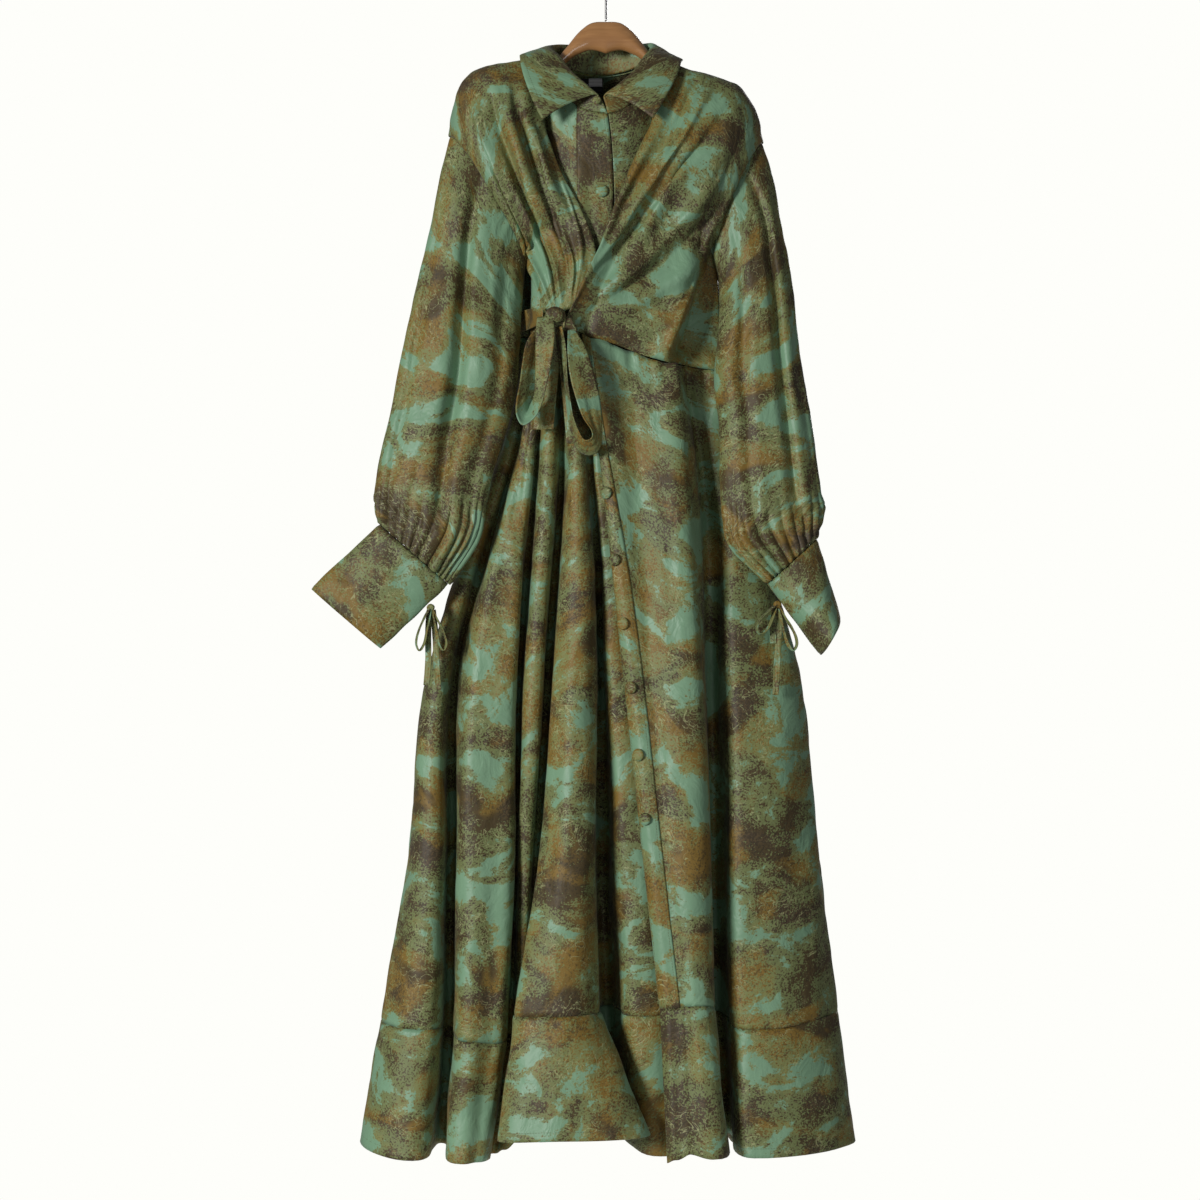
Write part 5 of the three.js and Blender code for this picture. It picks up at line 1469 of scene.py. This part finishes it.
@dataclass
class Skirt:
    """Gathered skirt of two fronts and a back, each with a flounce at its hem.

    Attributes:
        cells: cells between two fold lines.
        rows: cells down a panel.
        hem_rows: cells down a flounce.
        hem: distance of the hem's stitching from the edge.
    """

    cells: int = 12
    rows: int = 140
    hem_rows: int = 30
    hem: float = 12.0

    def build(self) -> None:
        """Makes the panels, the flounces, the buttoned strip and the stitching."""
        runs = []
        for name, panel, way, seed in (
            ("left", LEFT_PANEL, 1, 11), ("right", RIGHT_PANEL, 1, 23), ("back", BACK_PANEL, -1, 37),
        ):
            node = {"left": "front_left", "right": "front_right", "back": "back"}[name]
            us = shares(panel.count * self.cells)
            points = self.smoothed_sides(lattice(panel.skirt, us, shares(self.rows)))
            facing = self.facing(points, way)
            place = cloth_map(points)
            relief = skirt_relief(place, name, seed) * self.calm(points, name) + rolled_edge(place, True, (True, True))
            points = raised(points, facing * relief)
            Sheet(f"skirt_{node}_cloth", points, [f"skirt_{node}"], ["waist_belt_cloth"], Held.GATHERED,
                  shift=(0.4 * seed % 3, 0.2)).build()
            hem = self.smoothed_sides(lattice(panel.flounce, us, shares(self.hem_rows)))
            hem_place = cloth_map(hem)
            down = -hem_place[..., 1] / MM
            pucker = 1.3 * np.exp(-down / 22) * ripples(hem_place, 17, seed + 5, 4.0)
            soft = 1.2 * ripples(hem_place, 55, seed + 6, 2.5) * np.clip(down / 60, 0, 1)
            calm = self.calm(hem, name)
            hem = raised(hem, facing * ((pucker + soft) * calm + rolled_edge(hem_place, True, (True, False))))
            Sheet(f"flounce_{node}_cloth", hem, [f"flounce_{node}"], [f"skirt_{node}_cloth"], Held.GATHERED,
                  shift=(0.9 * seed % 3, 1.4)).build()
            low = 1 - self.hem / 165
            runs.append(run_on(hem, [0.004, 0.996], [low, low], facing * (CLOTH / 2 + 0.1)))
            if name == "right":
                runs += self.strip(points, facing)
        Stitches().build("skirt_stitches", runs)

    @staticmethod
    def smoothed_sides(points: np.ndarray) -> np.ndarray:
        """Brings the side seams of front and back together."""
        for end in (0, -1):
            edge = points[:, end, 1]
            points[:, end, 1] = np.where(np.abs(edge) < 1.5, np.sign(edge) * 0.4, edge)
        return points

    @staticmethod
    def facing(points: np.ndarray, way: int) -> int:
        """1 if the grid's normals point to the front (way 1) or the back (way -1), else -1."""
        return 1 if -normals(points)[..., 1].mean() * way > 0 else -1

    @staticmethod
    def calm(points: np.ndarray, name: str) -> np.ndarray | float:
        """Share of the relief that is kept: little on the buttoned strip of the right panel."""
        if name != "right":
            return 1.0
        across = np.abs(points[..., 0] - points[:, :1, 0])
        return np.clip((across - 24) / 14, 0.12, 1)

    def strip(self, panel: np.ndarray, facing: int) -> list:
        """Buttoned strip along the right panel's front edge, with its buttons.

        Args:
            panel: the panel's grid.
            facing: 1 where the grid's normals point out, else -1.

        Returns:
            Runs of stitches.
        """
        lines = RIGHT_PANEL.skirt_lines(shares(self.rows))
        inside = 2 * SKIRT_PLACKET_WIDTH / (lines[:, 2, 0] - lines[:, 0, 0])
        width = inside / RIGHT_PANEL.count
        out = facing * normals(panel)
        u = shares(14)[None, :] * width[:, None]
        v = shares(self.rows)[:, None] + 0 * u
        points = pick(panel, u, v) + pick(out, u, v) * (CLOTH + 0.35)
        Sheet("skirt_placket_cloth", points, ["skirt_placket"], ["skirt_front_right_cloth"], Held.STRETCHED,
              shift=(2.1, 0.2)).build(facing * 0.5 * rolled_edge(cloth_map(points), True, (False, False), 2.5))
        outwards, middle = facing * normals(points), np.array([0.5])
        for i, down in enumerate(SKIRT_BUTTONS):
            at, way = (pick(grid, middle, np.array([down]))[0] for grid in (points, outwards))
            Button().build(f"skirt_button_{i + 1}", at + way * BUTTON_LIFT, way, [f"button_skirt_{i + 1}"])
        lift = facing * (CLOTH / 2 + 0.1)
        edge = 3.5 / SKIRT_PLACKET_WIDTH
        return [run_on(points, [s, s], [0.01, 0.995], lift) for s in (edge, 1 - edge)]


@dataclass
class Bodice:
    """Bodice: back, two wrapped fronts over two shirt fronts, and the buttoned strip.

    Attributes:
        cells: cells across a front.
        rows: cells down a front.
    """

    cells: int = 90
    rows: int = 100

    def build(self) -> None:
        """Makes the panels of the bodice."""
        us, vs = shares(self.cells), shares(self.rows, 1.5)
        for name, surface, seed, rests in (
            ("overlay_left", self.overlay_left(), 41, "waist_bow_knot"),
            ("overlay_right", self.overlay_right(), 47, "waist_bow_knot"),
        ):
            points = lattice(surface, us, vs)
            place = cloth_map(points)
            facing = front_way(points)
            relief = 0.9 * ripples(place, 48, seed, 3.0) + 0.3 * ripples(place, 19, seed + 1, 1.5)
            for line in BODICE_CREASES[name]:
                relief = relief + 1.4 * crease_share(us, vs, line)
            down = -place[..., 1] / MM
            relief = relief * np.clip((down[-1:] - down) / 30, 0.1, 1)
            points = raised(points, facing * (relief + rolled_edge(place, True, (True, True))))
            Sheet(f"{name}_cloth", points, [name], ["wood_body", rests], Held.HUNG,
                  shift=(0.13 * seed, 0.5), turn=8 if name == "overlay_left" else -8).build()
        self.build_back()
        self.build_shirt()

    def build_back(self) -> None:
        """Makes the back."""
        points = lattice(back_surface(), shares(150), shares(90, 1.5))
        place = cloth_map(points)
        facing = -front_way(points)
        down = -place[..., 1] / MM
        drape = 1.6 * ripples(place, 70, 53, 3.5) * np.clip(down / 90, 0, 1)
        gather = 1.4 * np.exp(-(down.max() - down) / 40) * ripples(place, 17, 54, 6.0)
        small = 0.3 * ripples(place, 22, 55, 1.8)
        tied = np.exp(-(((points[..., 2] + 460) / 30) ** 2))
        relief = (drape + gather + small) * (1 - tied) - 0.5 * tied + rolled_edge(place, True, (True, True))
        points = raised(points, facing * relief)
        Sheet("bodice_back_cloth", points, ["bodice_back"], ["wood_body"], Held.HUNG, shift=(1.7, 2.3)).build()

    def overlay_left(self) -> Surface:
        """Left wrapped front: shoulder above, the tie below, front edge and armhole at the sides."""
        edge = curve(OVERLAY_LEFT_EDGE)
        outer = curve([*armhole_edge("left", 1), *OVERLAY_LEFT_TIE])
        one = np.ones(())
        base = patch(curve(shoulder_seam(SHOULDER_LEFT, -1)), curve([edge(one), outer(one)]), edge, outer)
        return face_front(base, lambda u, v: shoulder_round(u, v) + 1.3 * fold_height(FOLDS_LEFT, u, v), -1)

    def overlay_right(self) -> Surface:
        """Right wrapped front, which runs down over the waist seam from the knot to the side."""
        waist = waist_edge(RIGHT_PANEL, 1.4)
        edge = curve(OVERLAY_RIGHT_EDGE)
        outer = curve([*armhole_edge("right", 1), *OVERLAY_RIGHT_SIDE, waist[-1]])
        lower = curve([edge(np.ones(())), OVERLAY_RIGHT_KNOT, *waist])
        base = patch(curve(shoulder_seam(SHOULDER_RIGHT, -1)), lower, edge, outer)
        full = face_front(base, lambda u, v: shoulder_round(u, v) + 1.15 * fold_height(FOLDS_RIGHT, u, v), -1)
        return self.hollow_side(full)

    @staticmethod
    def hollow_side(surface: Surface) -> Surface:
        """Lets the right front fall back beyond the fold that runs from the armhole to the waist."""
        line, drop = (1.17, 0.6), -4.0

        def hollow(u: np.ndarray, v: np.ndarray) -> np.ndarray:
            """Point of the surface, drawn back towards the side seam's depth beyond the fold."""
            points = surface(u, v)
            beyond = smooth_step((u - line[0] - (line[1] - line[0]) * v) / 0.06)
            down = smooth_step((v - 0.4) / 0.15) * (1 - smooth_step((v - 0.93) / 0.07))
            points[..., 1] += 0.95 * beyond * down * np.maximum(drop - points[..., 1], 0)
            return points

        return hollow

    def build_shirt(self) -> None:
        """Makes the shirt fronts under the wrap, the buttoned strip and its button."""
        sides = {}
        waist_right = waist_edge(RIGHT_PANEL, 4)[2:7] + (0, 7, 0)
        for name, neck, side, waist in (
            ("left", NECK_LEFT, INNER_SIDE_LEFT, waist_edge(LEFT_PANEL)[::-1]),
            ("right", NECK_RIGHT, [*INNER_SIDE_RIGHT[:-1], waist_right[-1]], waist_right),
        ):
            top = curve(np.array(neck[:4], float) + (0, 0, -2.2))
            sides[name] = patch(top, curve(waist), curve(CENTRE_FRONT), curve(side))
        start = {"left": 0.0, "right": 0.012}
        for name, surface in sides.items():
            points = lattice(surface, start[name] + (1 - start[name]) * shares(48), shares(90))
            place = cloth_map(points)
            facing = front_way(points)
            near = np.clip(np.abs(points[..., 0] - points[:, :1, 0]) / 30, 0.1, 1)
            relief = (0.8 * ripples(place, 50, 61, 3.0) + 0.25 * ripples(place, 20, 62)) * near
            points = raised(points, facing * relief)
            Sheet(f"shirt_front_{name}_cloth", points, [f"shirt_front_{name}"], ["collar"], Held.HUNG,
                  shift=(2.7 if name == "left" else 0.1, 1.9)).build()
            if name == "left":
                self.build_strip(points, facing)

    def build_strip(self, front: np.ndarray, facing: int) -> None:
        """Makes the buttoned strip on the left shirt front, with its button and stitching."""
        v = shares(90)[:, None] + np.zeros((1, 13))
        share = PLACKET_SHARE[0] + (PLACKET_SHARE[1] - PLACKET_SHARE[0]) * v
        u = shares(12)[None, :] * share
        points = pick(front, u, v) + facing * pick(normals(front), u, v) * (CLOTH + 0.35)
        Sheet("bodice_placket_cloth", points, ["bodice_placket"], ["shirt_front_left_cloth"], Held.STRETCHED,
              shift=(1.1, 0.9)).build()
        middle, down = np.array([0.3]), np.array([BODICE_BUTTON])
        way = facing * pick(normals(points), middle, down)[0]
        at = pick(points, middle, down)[0] + way * BUTTON_LIFT
        Button().build("bodice_button", at, way, ["button_bodice"])
        lift = facing * (CLOTH / 2 + 0.1)
        Stitches().build("bodice_stitches", [run_on(points, [s, s], [0.01, 0.99], lift) for s in (0.12, 0.88)])
        top = np.array([-12.0, -54.5, -178.0])
        face = np.array([-0.12, -1.0, 0.25])
        Button(5.6, 2.8).build("collar_button", top, face, [])


def crease_share(us: np.ndarray, vs: np.ndarray, line: Sequence[float]) -> np.ndarray:
    """Soft ridge along a line given in shares of a panel: start and end (u, v), width and height."""
    u, v = np.meshgrid(us, vs)
    u0, v0, u1, v1, wide, high = line
    run, rise = u1 - u0, v1 - v0
    along = ((u - u0) * run + (v - v0) * rise) / (run * run + rise * rise)
    apart = np.hypot(u - u0 - run * along, v - v0 - rise * along)
    inside = np.clip(along, 0, 1)
    return high * np.sin(math.pi * inside) ** 0.7 * np.exp(-((apart / wide) ** 2))


# Creases of the wrapped fronts in shares of the panel: start and end, width and height
BODICE_CREASES = {
    "overlay_left": (
        (0.3, 0.1, 0.62, 0.99, 0.035, 7.0), (0.12, 0.3, 0.4, 0.98, 0.03, 6.0), (0.45, 0.12, 0.7, 0.95, 0.03, -6.5),
        (0.66, 0.1, 0.86, 0.97, 0.034, 7.0), (0.22, 0.2, 0.52, 0.97, 0.022, -5.0), (0.05, 0.5, 0.3, 0.99, 0.018, 3.0),
        (0.8, 0.3, 0.97, 0.95, 0.024, -5.0), (0.55, 0.5, 0.78, 1.0, 0.016, 3.2),
    ),
    "overlay_right": (
        (0.95, 0.5, 0.2, 0.97, 0.03, 5.5), (0.8, 0.3, 0.12, 0.93, 0.032, 6.0), (0.6, 0.1, 0.06, 0.85, 0.028, -6.0),
        (0.62, 0.86, 0.3, 0.99, 0.025, 3.6), (0.72, 0.5, 0.1, 0.98, 0.018, -4.0), (0.42, 0.06, 0.04, 0.9, 0.022, 5.5),
        (0.5, 0.72, 0.08, 0.99, 0.014, 2.8), (0.3, 0.05, 0.1, 0.6, 0.024, -4.0), (0.98, 0.3, 0.5, 0.7, 0.03, -4.5),
    ),
}


# Deep folds down the front of each sleeve, as in SLEEVE_FOLDS but as narrow as the cloth lays them
SLEEVE_GROOVES = {
    "left": ((72, 110, 19, 8), (32, 44, 8, 9), (128, 140, 6, 9)),
    "right": ((56, 64, 17, 8), (106, 118, 7, 10), (22, 30, 6, 9)),
}


@dataclass
class Sleeve:
    """Long full sleeve, gathered into a wide cuff that is slit and tied.

    Attributes:
        side: left or right.
        rows: table of rings.
        cuff: outer and inner points and half depth of the cuff's seam and opening.
        gathers: gathers round the cuff seam.
        seed: number that fixes the ripples.
    """

    side: str
    rows: Sequence[tuple]
    cuff: tuple
    gathers: int = 26
    seed: int = 71

    def rings(self) -> tuple[Path, ...]:
        """Outer and inner points, half depth and gathers as functions of the way down."""
        top, bottom, depth, _ = ARMHOLES[self.side]
        top, bottom = np.array(top, float), np.array(bottom, float)
        ahead = (bottom - top) / np.linalg.norm(bottom - top)
        under = np.array([TUCK if self.side == "left" else -TUCK, 0, TUCK / 2])
        first = (top + under + 1.6 * ahead, bottom + under - 1.6 * ahead, depth - 1.8, 0)
        table = [first, *self.rows]
        knots = shares(len(table) - 1)
        outer = np.array([row[0] for row in table], float)
        inner = np.array([row[1] for row in table], float)
        if self.side == "right":
            inner[1:5, 0] -= INNER_SHIFT
        half = [row[2] for row in table]
        gather = [row[3] for row in table]
        return (
            lambda v: smooth(knots, outer, v),
            lambda v: smooth(knots, inner, v),
            lambda v: column(knots, half, v),
            lambda v: np.maximum(column(knots, gather, v), 0),
        )

    def surface(self, u: np.ndarray, v: np.ndarray) -> np.ndarray:
        """Point of the sleeve: u goes round from the outer edge over the front, v down to the cuff."""
        outer_at, inner_at, half_at, gather_at = self.rings()
        angle = 2 * math.pi * u
        outer, inner = outer_at(v), inner_at(v)
        middle = (outer + inner) / 2
        turned = np.degrees(angle)
        inward = np.zeros(u.shape)
        for start, stop, deep, wide in (*SLEEVE_GROOVES[self.side], *SLEEVE_FOLDS[2:]):
            apart = (turned - (start + (stop - start) * v) + 180) % 360 - 180
            inward += deep * np.sin(math.pi * np.minimum(v * 1.1, 1)) ** 0.6 * np.exp(-((apart / wide) ** 2))
        wave = self.gathers * angle + 1.3 * np.sin(2 * angle + 0.7) + 0.8 * np.sin(5 * angle)
        puffs = 2 * np.abs(np.sin(wave / 2)) ** 0.8 - 1.3
        gathers = 1.7 * gather_at(v) * puffs * (0.75 + 0.25 * np.sin(3 * angle + 1.1))
        reach = half_at(v) - inward + gathers
        bow = np.abs(np.sin(angle)) * np.maximum(1 - v * 6, 0)
        points = middle + (outer - middle) * (np.cos(angle) * (1 + gathers / 60))[..., None]
        points = points + np.array(ARMHOLES[self.side][3]) * bow[..., None]
        points[..., 1] -= reach * np.sin(angle)
        return points

    def build(self) -> None:
        """Makes the sleeve, the cuff and their stitching."""
        points = lattice(self.surface, shares(270), shares(120))
        facing = self.facing(points)
        place = cloth_map(points)
        down = -place[..., 1] / MM
        whole = down.max()
        head = 0.9 * np.exp(-down / 14) * ripples(place, 16, self.seed, 3.0)
        drape = 1.5 * ripples(place, 50, self.seed + 1, 4.5) * np.clip(down / 80, 0, 1)
        fan = 1.5 * np.exp(-(whole - down) / 70) * ripples(place, 20, self.seed + 2, 7.0)
        small = 0.35 * ripples(place, 22, self.seed + 3, 1.6)
        relief = self.met_round(head + drape + fan + small) + rolled_edge(place, False, (True, True))
        points = raised(points, facing * relief, True)
        Sheet(f"sleeve_{self.side}_cloth", points, [f"sleeve_{self.side}"], ["wood_body"], Held.GATHERED, closed=True,
              shift=(0.037 * self.seed, 3.1)).build()
        self.build_cuff()

    @staticmethod
    def met_round(relief: np.ndarray) -> np.ndarray:
        """Blends the relief's last 12 percent into its start, so that it meets itself on a closed grid."""
        share = smooth_step((np.arange(relief.shape[1]) / (relief.shape[1] - 1) - 0.88) / 0.12)
        return relief * (1 - share) + relief[:, :1] * share

    @staticmethod
    def facing(points: np.ndarray) -> int:
        """1 if the grid's normals point away from the sleeve's middle, else -1."""
        away = points - points.mean(axis=1, keepdims=True)
        return 1 if (normals(points, True) * away).sum() > 0 else -1

    def build_cuff(self) -> None:
        """Makes the cuff: a band from the sleeve seam to its opening, slit at its inner edge."""
        (seam_out, seam_in, seam_half), (open_out, open_in, open_half), slit = self.cuff
        gap = math.radians(slit)
        u, v = np.meshgrid(shares(150), shares(26))
        angle = -math.pi + gap + u * (2 * math.pi - 2 * gap)
        outer = np.array(seam_out) + (np.array(open_out) - np.array(seam_out)) * v[..., None]
        inner = np.array(seam_in) + (np.array(open_in) - np.array(seam_in)) * v[..., None]
        middle = (outer + inner) / 2
        points = middle + (outer - middle) * np.cos(angle)[..., None]
        points[..., 1] -= (seam_half + (open_half - seam_half) * v) * np.sin(angle)
        away = points - points.mean(axis=1, keepdims=True)
        facing = 1 if (normals(points) * away).sum() > 0 else -1
        place = cloth_map(points)
        down = -place[..., 1] / MM
        pucker = 0.7 * np.exp(-down / 12) * ripples(place, 15, self.seed + 8, 3.0)
        relief = pucker + 0.7 * ripples(place, 44, self.seed + 9) + rolled_edge(place, True, (True, True), 3)
        points = raised(points, facing * relief)
        Sheet(f"cuff_{self.side}_cloth", points, [f"cuff_{self.side}"], [f"sleeve_{self.side}_cloth"], Held.STRETCHED,
              BAND, shift=(0.05 * self.seed, 0.7), turn=35).build()
        lift = facing * (BAND / 2 + 0.1)
        runs = [run_on(points, [0.01, 0.99], [t, t], lift) for t in (0.05, 0.95)]
        runs += [run_on(points, [s, s], [0.05, 0.95], lift) for s in (0.014, 0.986)]
        Stitches().build(f"cuff_{self.side}_stitches", runs)


@dataclass
class Ribbon:
    """Strip of cloth along a path, with a turned edge and creases along it.

    Attributes:
        rows: points of its middle line, each with the angle of its width from +X towards the front.
        width: in millimetres.
        steps: cells along it.
        cells: cells across it.
    """

    rows: Sequence[tuple]
    width: float
    steps: int = 90
    cells: int = 16

    def grid(self, seed: int, deep: float = 1.2) -> np.ndarray:
        """The ribbon's points, with creases along it.

        Args:
            seed: number that fixes its creases.
            deep: height of the creases in millimetres.

        Returns:
            A grid of points.
        """
        table = np.array(self.rows, float)
        path = curve(table[:, :3])
        knots = shares(len(table) - 1)
        u, v = np.meshgrid(shares(self.cells), shares(self.steps))
        angle = np.radians(column(knots, table[:, 3], v))
        across = np.stack([np.cos(angle), -np.sin(angle), 0 * angle], axis=-1)
        points = path(v) + across * ((u - 0.5) * self.width)[..., None]
        place = cloth_map(points)
        relief = deep * ripples(place, self.width * 0.55, seed, 7.0, 8)
        return raised(points, relief + 0.4 * rolled_edge(place, True, (False, False), 1.6))


@dataclass
class WaistTie:
    """Belt round the back and the bow at its left front: knot, two loops and two ends.

    Attributes:
        width: of the tie in millimetres.
        height: of the belt's middle.
    """

    width: float = 30
    height: float = -460

    def build(self) -> None:
        """Makes the belt, the knot, the loops and the ends."""
        self.build_belt()
        knot = knot_mesh("waist_bow_knot", (-66, -83.5, -460), (13, 8, 11), 81)
        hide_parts("waist_bow")
        pieces = {
            "loop_left": self.loop(LOOP_LEFT, 83), "loop_right": self.loop(LOOP_RIGHT, 85),
            "end_left": Ribbon(TAIL_LEFT, self.width).grid(87), "end_right": Ribbon(TAIL_RIGHT, self.width).grid(89),
        }
        for i, (name, points) in enumerate(pieces.items()):
            Sheet(f"bow_{name}", points, ["waist_bow"], ["waist_bow_knot"], Held.HUNG,
                  shift=(1.7 + 0.4 * i, 0.4)).build()

    @staticmethod
    def loop(rows: Sequence[tuple], seed: int) -> np.ndarray:
        """A loop's points: straight across between its two rims, with creases along it.

        Args:
            rows: pairs of points of the front and back rim, from the knot round to the knot.
            seed: number that fixes its creases.

        Returns:
            A grid of points.
        """
        table = np.array(rows, float)
        v = shares(110)
        near, far = (smooth(shares(len(table) - 1), table[:, k], v)[:, None] for k in (0, 1))
        points = near + (far - near) * shares(14)[None, :, None]
        place = cloth_map(points)
        middle = np.sin(math.pi * shares(14))[None]
        return raised(points, 0.9 * middle * ripples(place, 15, seed, 7.0, 8))

    def build_belt(self) -> None:
        """Makes the belt from the back's own points, carried on round the left side to the knot."""
        back = back_surface()
        heights = np.linspace(0.5, -0.5, 13) * self.width
        us = shares(120)
        rows = np.stack([back(us, self.share_at(back, us, self.height + up)) for up in heights])
        around = rows + normals(rows) * 3.2 * (1 if normals(rows)[..., 1].mean() > 0 else -1)
        lead = curve(BELT_FRONT)(shares(30))
        narrow = lead[None] + np.zeros((len(heights), 1, 1))
        narrow[..., 2] += heights[:, None] * (0.75 + 0.25 * shares(30))[None]
        whole = np.concatenate([narrow, around[:, 16:-4]], axis=1)
        place = cloth_map(whole)
        relief = 0.6 * ripples(place.take([1, 0], axis=2), 24, 91, 5.0)
        facing = 1 if normals(whole)[:, 60:, 1].mean() > 0 else -1
        Sheet("waist_belt_cloth", raised(whole, facing * relief), ["waist_belt"], ["bodice_back_cloth"],
              Held.STRETCHED, shift=(0.5, 2.9)).build()

    @staticmethod
    def share_at(surface: Surface, us: np.ndarray, height: float) -> np.ndarray:
        """Share of the way down a surface at which each column reaches a height, by halving."""
        low, high = np.zeros(len(us)), np.ones(len(us))
        for _ in range(24):
            middle = (low + high) / 2
            above = surface(us, middle)[:, 2] > height
            low, high = np.where(above, middle, low), np.where(above, high, middle)
        return low


def knot_mesh(name: str, at: Sequence[float], size: Sequence[float], seed: int) -> bpy.types.Object:
    """Knot: a rounded lump of cloth with folds that wrap it from top to bottom.

    Args:
        name: its name.
        at: its middle.
        size: half width, depth and height in millimetres.
        seed: number that fixes its folds.

    Returns:
        The object.
    """

    def squared(a: np.ndarray) -> np.ndarray:
        """Share of the half width, drawn out so that a round section turns squarer."""
        return np.sign(a) * np.abs(a) ** 0.8

    pole = 0.02
    lat, lon = np.meshgrid(
        np.linspace(pole, math.pi - pole, 28), np.linspace(0, 2 * math.pi, 56, endpoint=False), indexing="ij",
    )
    long_folds = 0.07 * np.sin(5 * lon + 1.2 * np.sin(lat * 2 + seed)) * np.sin(lat)
    fold = 1 + long_folds + 0.03 * np.sin(11 * lon + lat * 3)
    rings = np.stack([
        at[0] + size[0] * squared(np.sin(lat) * np.cos(lon)) * fold,
        at[1] + size[1] * squared(np.sin(lat) * np.sin(lon)) * fold,
        at[2] + size[2] * np.cos(lat) * (1 - 0.1 * np.cos(lon) ** 2),
    ], axis=2)
    knot = round_mesh(name, rings)
    wrap_map(knot)
    dress(knot, Finish.CLOTH, "satin_jacquard")
    return knot


@dataclass
class CuffTie:
    """Narrow tie on a cuff: a knot, two loops and two ends.

    Attributes:
        side: left or right.
        knot: middle of the knot.
        loops: paths of the loops.
        ends: paths of the ends.
        width: of the ribbon.
    """

    side: str
    knot: tuple[float, float, float]
    loops: Sequence[Sequence[tuple]]
    ends: Sequence[Sequence[tuple]]
    width: float = 8

    def build(self) -> None:
        """Makes the knot, the loops and the ends."""
        node = f"cuff_tie_{self.side}"
        knot = knot_mesh(f"{node}_knot", self.knot, (5, 4.5, 5), 95)
        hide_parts(node)
        for kind, paths, turn in (("loop", self.loops, 70), ("end", self.ends, 10)):
            for i, path in enumerate(paths):
                rows = [(*point, turn) for point in path]
                points = Ribbon(rows, self.width, 60, 8).grid(97 + i, 0.5)
                Sheet(f"{node}_{kind}_{i + 1}", points, [node], [f"{node}_knot"], Held.HUNG, 0.9,
                      shift=(0.3 * i, 1.2)).build()


CUFFS = {
    "left": (((-294.6, -56, -729.6), (-204.6, -60, -807.6), 18), ((-383, -56, -813), (-292, -60, -891), 14), 6),
    "right": (((273.4, -56, -749.0), (209.4, -60, -807.0), 26), ((304, -62, -854), (278, -62, -899), 42), 6),
}
CUFF_TIES = {"left": CUFF_TIE_LEFT, "right": CUFF_TIE_RIGHT}


@dataclass
class Studio:
    """Pale floor, soft light from the upper left, and the camera straight in front.

    Attributes:
        floor: height of the floor in metres, below the camera's view.
        around: strength of the even light from all sides.
        camera: place of the camera.
        lens: focal length in millimetres on a sensor 36 mm wide.
    """

    floor: float = -1.85
    around: float = 0.14
    camera: tuple[float, float, float] = (-0.0079, -3.5, -0.8276)
    lens: float = 79.5

    def build(self) -> None:
        """Makes the floor, the world, the lights and the camera."""
        scene = bpy.context.scene
        scene.view_settings.view_transform = "Standard"
        scene.view_settings.look = "None"
        scene.view_settings.exposure = 0.0
        self.build_world()
        self.light("key", (-3.2, -3.7, -0.2), 1.1, 215.0, (0.0, 0.0, -0.9))
        self.light("fill", (1.4, -3.2, -1.2), 1.2, 12.0, (0.0, 0.0, -0.9))
        self.light("back", (0.9, 3.6, 0.3), 1.6, 75.0, (0.0, 0.0, -0.9))
        lens = bpy.data.cameras.new("camera")
        lens.lens = self.lens
        lens.sensor_width = 36.0
        camera = bpy.data.objects.new("camera", lens)
        camera.location = self.camera
        camera.rotation_euler = (math.radians(90), 0, 0)
        scene.collection.objects.link(camera)
        scene.camera = camera
        self.build_floor()

    def build_world(self) -> None:
        """Makes a white backdrop that lights the cloth less than it shows, so that deep folds stay dark."""
        world = bpy.data.worlds.new("studio")
        bpy.context.scene.world = world
        world.use_nodes = True
        tree = world.node_tree
        shown = tree.nodes["Background"]
        shown.inputs["Color"].default_value = srgb("fefefa")
        even = add_node(tree, "ShaderNodeBackground", {"Color": srgb("fbfbff"), "Strength": self.around})
        seen = add_node(tree, "ShaderNodeLightPath").outputs["Is Camera Ray"]
        both = add_node(tree, "ShaderNodeMixShader", links={0: seen, 1: even.outputs[0], 2: shown.outputs[0]})
        tree.links.new(both.outputs[0], tree.nodes["World Output"].inputs["Surface"])

    def build_floor(self) -> None:
        """Makes a pale round floor under the dress."""
        angle = np.linspace(0, 2 * math.pi, 96, endpoint=False)
        rim = np.stack([0.85 * np.cos(angle), 0.85 * np.sin(angle), np.full(96, self.floor)], axis=1)
        mesh = bpy.data.meshes.new("studio_floor")
        mesh.from_pydata(rim.tolist(), [], [list(range(96))])
        floor = bpy.data.objects.new("studio_floor", mesh)
        bpy.context.scene.collection.objects.link(floor)
        material, _, shader = blank_material("matt_paper")
        shader.inputs["Base Color"].default_value = srgb("f4f3ef")
        shader.inputs["Roughness"].default_value = 0.9
        mesh.materials.append(material)

    @staticmethod
    def light(name: str, at: tuple[float, float, float], size: float, power: float, towards: tuple) -> None:
        """Adds a square area light that faces a point."""
        lamp = bpy.data.lights.new(name, "AREA")
        lamp.size, lamp.energy = size, power
        lamp_object = bpy.data.objects.new(name, lamp)
        lamp_object.location = at
        lamp_object.rotation_euler = (Vector(towards) - Vector(at)).to_track_quat("-Z", "Y").to_euler()
        bpy.context.scene.collection.objects.link(lamp_object)


def main() -> None:
    """Builds the dress on its hanger and the studio."""
    logging.basicConfig(level=logging.INFO, format="%(name)s %(message)s")
    Studio().build()
    Hanger().build()
    Bodice().build()
    Labels().build()
    Collar().build()
    WaistTie().build()
    Skirt().build()
    for side, rows, seed in (("left", SLEEVE_LEFT, 71), ("right", SLEEVE_RIGHT, 113)):
        Sleeve(side, rows, CUFFS[side], seed=seed).build()
        CuffTie(side, *CUFF_TIES[side]).build()


if __name__ == "__main__":
    main()
